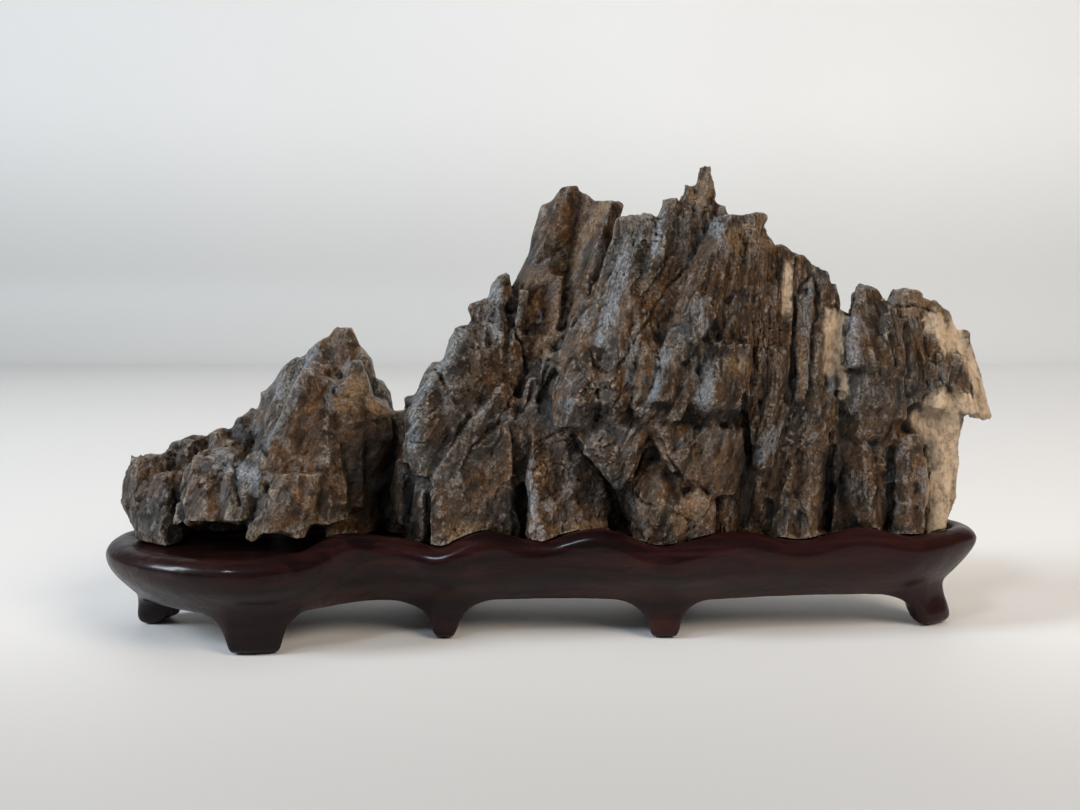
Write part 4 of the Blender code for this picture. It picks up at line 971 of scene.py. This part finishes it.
class Shader:
    """Builds a node material. put() adds a node and links or sets its inputs."""

    def __init__(self, name):
        self.material = bpy.data.materials.new(name)
        self.material.use_nodes = True
        self.tree = self.material.node_tree
        self.surface = self.tree.nodes["Principled BSDF"]

    def put(self, kind, out=0, settings=None, **inputs):
        node = self.tree.nodes.new(kind)
        for key, value in (settings or {}).items():
            setattr(node, key, value)
        for key, value in inputs.items():
            numbered = key[0] == "i" and key[1:].isdigit()
            self.feed(node, int(key[1:]) if numbered else key.replace("_", " "), value)
        return node.outputs[out]

    def feed(self, node, key, value):
        socket = node.inputs[key]
        if isinstance(value, bpy.types.NodeSocket):
            self.tree.links.new(value, socket)
        elif isinstance(value, tuple) and len(value) == 3 and len(socket.default_value) == 4:
            socket.default_value = (*value, 1.0)
        else:
            socket.default_value = value

    def set(self, **inputs):
        for key, value in inputs.items():
            self.feed(self.surface, key.replace("_", " "), value)

    def attribute(self, name, out="Fac"):
        return self.put("ShaderNodeAttribute", out, {"attribute_name": name})

    def vector_math(self, operation, a, b, out="Vector"):
        return self.put("ShaderNodeVectorMath", out, {"operation": operation}, i0=a, i1=b)

    def scaled(self, vector, scale):
        return self.vector_math("MULTIPLY", vector, scale)

    def place(self):
        """Where the surface is, in mm."""
        return self.scaled(self.put("ShaderNodeTexCoord", "Object"), (1 / MM, 1 / MM, 1 / MM))

    def axis(self, letter):
        """Where the surface is along one axis, in metres."""
        return self.put("ShaderNodeSeparateXYZ", letter, i0=self.put("ShaderNodeTexCoord", "Object"))

    def noise(self, vector, scale, detail=3.0, rough=0.55, distortion=0.0):
        return self.put("ShaderNodeTexNoise", Vector=vector, Scale=scale, Detail=detail, Roughness=rough,
                        Distortion=distortion)

    def shards(self, vector, scale):
        """Height of flat facets, each tilted its own way, in the vector's unit."""
        centre = self.put("ShaderNodeTexVoronoi", "Position", Vector=vector, Scale=scale)
        way = self.vector_math("SUBTRACT", vector, centre)
        lean = self.vector_math("SUBTRACT", centre.node.outputs["Color"], (0.5, 0.5, 0.5))
        return self.vector_math("DOT_PRODUCT", way, lean, "Value")

    def ramp(self, value, low, high, a=0.0, b=1.0):
        eased = {"interpolation_type": "SMOOTHSTEP"}
        return self.put("ShaderNodeMapRange", 0, eased, i0=value, i1=low, i2=high, i3=a, i4=b)

    def times(self, a, b):
        return self.put("ShaderNodeMath", 0, {"operation": "MULTIPLY"}, i0=a, i1=b)

    def plus(self, a, b):
        return self.put("ShaderNodeMath", 0, {"operation": "ADD"}, i0=a, i1=b)

    def mix(self, share, a, b, mode="MIX"):
        """Colour a turned to b by the share. 6, 7 and 2 are the node's colour sockets."""
        return self.put("ShaderNodeMix", 2, {"data_type": "RGBA", "blend_type": mode}, i0=share, i6=a, i7=b)

    def coats(self, base, *coats):
        """Colours laid over base one by one. Each coat is its share and its colour."""
        for share, colour in coats:
            base = self.mix(share, base, colour)
        return base

    def shaded(self, base, value):
        grey = self.put("ShaderNodeCombineColor", i0=value, i1=value, i2=value)
        return self.mix(1.0, base, grey, "MULTIPLY")

    def bump(self, height, strength, distance, normal=None):
        under = {} if normal is None else {"Normal": normal}
        return self.put("ShaderNodeBump", Strength=strength, Distance=distance, Height=height, **under)


BROWN = (0.082, 0.042, 0.018)
UMBER = (0.028, 0.014, 0.007)
SLATE = (0.042, 0.033, 0.025)
WORN = (0.28, 0.23, 0.18)
TAN_VEIN = (0.22, 0.135, 0.070)
CREAM_VEIN = (0.68, 0.51, 0.35)
CREAM_SHADE = (0.36, 0.26, 0.17)
OCHRE_STAIN = (0.22, 0.110, 0.045)
# pale grey of some facets, and of the painted sheen
PALE_TONE_AND_SHEEN = (0.21, 0.22, 0.23)
# black of the cracks, and of the painted shade in hollows, creases and recesses
CRACK_BLACK_AND_PAINTED_SHADE = (0.004, 0.003, 0.0025)


def stone_material():
    s = Shader("weathered_stone")
    grain = s.attribute("grain", "Vector")
    place = s.place()
    along = s.scaled(grain, (1.0, 0.9, 0.30))

    patches = s.noise(place, 0.075)
    layers = s.noise(along, 0.40, 4.0, 0.6)
    fine_layers = s.noise(s.scaled(grain, (1.0, 1.0, 0.12)), 2.2, 4.0, 0.65)
    speckle = s.noise(place, 1.9, 5.0, 0.75)
    mottle = s.noise(place, 0.7, 5.0, 0.65)
    stored = ("tone", "pale", "tan", "ochre", "cream", "dark", "edge", "dip", "hollow")
    tone, pale, tan, ochre, cream, dark, edge, dip, hollow = (s.attribute(name) for name in stored)

    base = s.mix(s.ramp(patches, 0.43, 0.63), BROWN, SLATE)
    base = s.coats(
        base,
        (s.ramp(layers, 0.45, 0.70, 0.0, 0.6), UMBER),
        (s.ramp(mottle, 0.55, 0.76, 0.0, 0.45), TAN_VEIN),
        (s.ramp(fine_layers, 0.60, 0.80, 0.0, 0.25), WORN),
    )
    base = s.shaded(base, s.ramp(tone, 0.15, 0.85, 0.45, 1.6))
    base = s.coats(
        base,
        (s.ramp(tone, 0.74, 0.86, 0.0, 0.5), PALE_TONE_AND_SHEEN),
        # the pale marks: pale stone with a painted sheen
        (s.times(pale, s.ramp(fine_layers, 0.38, 0.58, 0.2, 0.95)), PALE_TONE_AND_SHEEN),
        (s.times(tan, s.ramp(mottle, 0.35, 0.6, 0.45, 0.95)), TAN_VEIN),
        (s.times(ochre, s.ramp(mottle, 0.4, 0.62, 0.2, 0.85)), OCHRE_STAIN),
    )

    # a net of fractures: black in the crack, worn along its rims; then painted shade in hollows, dips,
    # creases and the marked recesses
    bend = s.put("ShaderNodeTexNoise", "Color", Vector=place, Scale=0.35, Detail=5.0, Roughness=0.65)
    net = s.vector_math("ADD", s.scaled(grain, (1.0, 0.8, 0.16)), bend)
    gap = s.put("ShaderNodeTexVoronoi", 0, {"feature": "DISTANCE_TO_EDGE"}, Vector=net, Scale=0.5)
    some = s.ramp(s.noise(place, 0.22), 0.50, 0.62)
    crack = s.times(s.ramp(gap, 0.035, 0.004), some)
    worn = s.times(s.ramp(edge, 0.45, 0.24), s.ramp(speckle, 0.38, 0.58, 0.15, 1.0))
    base = s.coats(
        base,
        (s.times(s.ramp(gap, 0.16, 0.03), s.times(some, 0.35)), WORN),
        (s.times(crack, 0.7), CRACK_BLACK_AND_PAINTED_SHADE),
        (s.times(worn, 0.65), WORN),
        # painted shade: darker in hollows, dips and creases, and in the marked recesses
        (s.ramp(hollow, 0.53, 0.86, 0.0, 0.85), CRACK_BLACK_AND_PAINTED_SHADE),
        (s.ramp(dip, 0.56, 0.84, 0.0, 0.85), CRACK_BLACK_AND_PAINTED_SHADE),
        (s.ramp(edge, 0.55, 0.75, 0.0, 0.85), CRACK_BLACK_AND_PAINTED_SHADE),
        (s.times(dark, 0.7), CRACK_BLACK_AND_PAINTED_SHADE),
    )
    base = s.shaded(base, s.ramp(speckle, 0.34, 0.68, 0.42, 1.5))
    cream_stone = s.mix(s.ramp(mottle, 0.45, 0.66), CREAM_VEIN, CREAM_SHADE)
    base = s.mix(s.times(cream, s.ramp(layers, 0.3, 0.62, 0.95, 0.62)), base, cream_stone)

    # cleaved chips, coarse and fine, which the cream stone has less of, then wrinkles, cracks and grit
    bend = s.put("ShaderNodeTexNoise", "Color", Vector=place, Scale=0.5, Detail=3.0)
    chips = s.vector_math("ADD", s.scaled(grain, (1.0, 0.9, 0.58)), bend)
    plain = s.ramp(cream, 0.1, 0.9, 1.0, 0.35)
    wrinkles = s.put("ShaderNodeTexNoise", 0, {"noise_type": "RIDGED_MULTIFRACTAL"}, Vector=along, Scale=1.2,
                     Detail=5.0, Roughness=0.6, Distortion=0.4)
    grit = s.plus(s.times(speckle, 0.6), s.times(fine_layers, 0.6))
    normal = None
    for height, strength, distance in (
        (s.times(s.shards(chips, 0.30), plain), 0.9, 0.001),
        (s.times(s.shards(chips, 0.85), plain), 0.5, 0.001),
        (s.noise(along, 1.6, 6.0, 0.62), 0.3, 0.0004),
        (wrinkles, 0.5, 0.00035),
        (s.times(crack, -1.0), 0.7, 0.0003),
        (grit, 0.9, 0.00035),
    ):
        normal = s.bump(height, strength, distance, normal)
    rough = s.ramp(speckle, 0.3, 0.7, 0.25, 0.52)
    s.set(Base_Color=base, Roughness=rough, Normal=normal, Specular_IOR_Level=0.4)
    return s.material


WOOD_DARK = (0.0065, 0.0022, 0.0022)
WOOD_RED = (0.029, 0.0080, 0.0066)
WOOD_WORN = (0.075, 0.030, 0.021)
DUST = (0.12, 0.10, 0.09)


def wood_material():
    s = Shader("dark_hardwood")
    place = s.place()
    run = s.scaled(place, (0.10, 1.0, 1.0))
    figure = s.noise(run, 0.35, 4.0, 0.6, 0.6)
    streaks = s.noise(run, 1.9, 4.0, 0.65)
    pore = s.noise(s.scaled(place, (0.16, 1.0, 1.0)), 3.4, 2.0, 0.6)
    base = s.coats(
        s.mix(s.ramp(figure, 0.38, 0.66), WOOD_DARK, WOOD_RED),
        (s.ramp(s.noise(place, 0.05, 2.0), 0.35, 0.6, 0.55, 0.0), WOOD_DARK),
        # painted light: lighter and redder towards the right end, which the light falls on
        (s.ramp(s.axis("X"), 0.0, 0.07, 0.0, 0.4), WOOD_RED),
        (s.ramp(streaks, 0.62, 0.80, 0.0, 0.35), WOOD_WORN),
        (s.ramp(pore, 0.62, 0.70, 0.0, 0.5), WOOD_DARK),
        (s.ramp(s.noise(place, 2.4, 2.0, 0.6), 0.745, 0.78, 0.0, 0.5), DUST),
    )
    normal = s.bump(pore, 0.25, 0.00012)
    normal = s.bump(s.noise(place, 0.7, 4.0, 0.6), 0.25, 0.0006, normal)
    s.set(Base_Color=base, Roughness=s.ramp(streaks, 0.3, 0.75, 0.30, 0.46), Normal=normal,
          Specular_IOR_Level=0.05, Coat_Weight=0.32, Coat_Roughness=0.17)
    return s.material


# painted shade: the table darker near the front, the wall darker low down
FLOOR_NEAR_PAINTED_SHADE = (0.465, 0.45, 0.435)
FLOOR = (0.70, 0.675, 0.65)
WALL_LOW_PAINTED_SHADE = (0.68, 0.665, 0.64)
WALL_HIGH = (0.88, 0.855, 0.825)


def backdrop_material():
    s = Shader("pale_backdrop")
    deep = s.axis("Y")
    # painted shade: the wall darker low down, the table darker towards the front
    wall = s.mix(s.ramp(s.axis("Z"), 0.08, 0.30), WALL_LOW_PAINTED_SHADE, WALL_HIGH)
    table = s.mix(s.ramp(deep, -0.10, 0.02), FLOOR_NEAR_PAINTED_SHADE, FLOOR)
    tone = s.mix(s.ramp(deep, 0.55, 1.0), table, wall)
    # painted light: darker to the left and lighter to the right, more so further back
    left, right = s.ramp(deep, 0.1, 0.9, 0.94, 0.76), s.ramp(deep, 0.1, 0.9, 1.08, 1.26)
    across = s.ramp(s.axis("X"), -0.9, 0.9, left, right)
    where = s.put("ShaderNodeTexCoord", "Object")
    cloud = s.ramp(s.noise(where, 3.0, 2.0), 0.3, 0.7, 0.98, 1.0)
    s.set(Base_Color=s.shaded(tone, s.times(cloud, across)), Roughness=0.6)
    return s.material


# ---------------------------------------------------------------- stage, light and camera

# Frame, in its own pixels
FRAME_WIDTH = 1080
MIDDLE_ROW = 405
HORIZON_ROW = 300
FOCAL_LENGTH = 1100
SENSOR = 36.0  # mm
# Backdrop, m
HALF_WIDTH = 2.2
TABLE_FRONT = -0.9
WALL_Y = 1.0
WALL_TOP = 1.6
COVE = 0.10  # radius of the bend from the table top to the wall
COVE_STEPS = 16
# Lamps: name, place and target in m, size, power in W, colour, and whether polished faces mirror it
LAMPS = [
    ("window", (-1.4, -0.38, 0.85), (0, 0, 0.04), (0.5, 0.6), 26.0, (0.80, 0.90, 1.0), True),
    ("pane", (-0.6, -0.9, 1.25), (0, 0, 0.02), (0.20, 0.28), 6.0, (0.76, 0.87, 1.0), True),
    ("room", (0.55, -0.5, 0.6), (0.03, 0, 0.04), (0.5, 0.4), 6.5, (1.0, 0.89, 0.76), False),
    ("ceiling", (0.1, 0.3, 1.5), (0, 0.2, 0.0), (1.8, 1.4), 6.5, (1.0, 0.975, 0.94), False),
]
SKY = (0.95, 0.97, 1.0, 1.0)
SKY_STRENGTH = 0.10


def make_stage():
    """The table top, which bends up into the wall."""
    bm = bmesh.new()
    profile = [(TABLE_FRONT, 0.0), (WALL_Y - COVE, 0.0)]
    for k in range(1, COVE_STEPS + 1):
        a = math.pi / 2 * k / COVE_STEPS
        profile.append((WALL_Y - COVE + COVE * math.sin(a), COVE - COVE * math.cos(a)))
    profile.append((WALL_Y, WALL_TOP))
    rows = [[bm.verts.new((x, y, z)) for y, z in profile] for x in (-HALF_WIDTH, HALF_WIDTH)]
    for k in range(len(profile) - 1):
        bm.faces.new((rows[0][k], rows[1][k], rows[1][k + 1], rows[0][k + 1]))
    bmesh.ops.recalc_face_normals(bm, faces=bm.faces)
    mesh = mesh_from(bm, "backdrop")
    mesh.shade_smooth()
    stage = linked("backdrop", mesh)
    stage.data.materials.append(backdrop_material())


def make_lights():
    for name, place, target, size, power, color, mirrored in LAMPS:
        light = bpy.data.lights.new(name, "AREA")
        light.shape = "RECTANGLE"
        light.size, light.size_y = size
        light.energy = power
        light.color = color
        obj = linked(name, light)
        obj.visible_glossy = mirrored
        obj.location = place
        obj.rotation_euler = (Vector(target) - Vector(place)).to_track_quat("-Z", "Y").to_euler()
    world = bpy.context.scene.world or bpy.data.worlds.new("world")
    bpy.context.scene.world = world
    world.use_nodes = True
    sky = world.node_tree.nodes["Background"]
    sky.inputs["Color"].default_value = SKY
    sky.inputs["Strength"].default_value = SKY_STRENGTH


def make_camera():
    data = bpy.data.cameras.new("camera")
    data.sensor_width = SENSOR
    data.lens = SENSOR * (FOCAL_LENGTH / FRAME_WIDTH)
    data.clip_start = 0.01
    camera = linked("camera", data)
    camera.location = (EYE - ORIGIN) * MM
    looks_down = math.atan((MIDDLE_ROW - HORIZON_ROW) / FOCAL_LENGTH)
    camera.rotation_euler = Euler((math.pi / 2 - looks_down, 0, 0))
    bpy.context.scene.camera = camera


def main():
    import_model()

    clearance = linked("clearance", close_ends(stand_mesh("clearance", CLEARANCE_STEP, SEAT_GAP, SEAT_GAP)))
    stone = make_rock(clearance)
    bpy.data.objects.remove(clearance)
    stone.data.materials.clear()
    stone.data.materials.append(stone_material())
    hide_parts("rock")
    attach(stone, "root")

    stand = make_stand()
    stand.data.materials.append(wood_material())
    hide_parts("stand")
    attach(stand, "root")

    make_stage()
    make_lights()
    make_camera()
    bpy.context.scene.view_settings.view_transform = "Standard"


main()
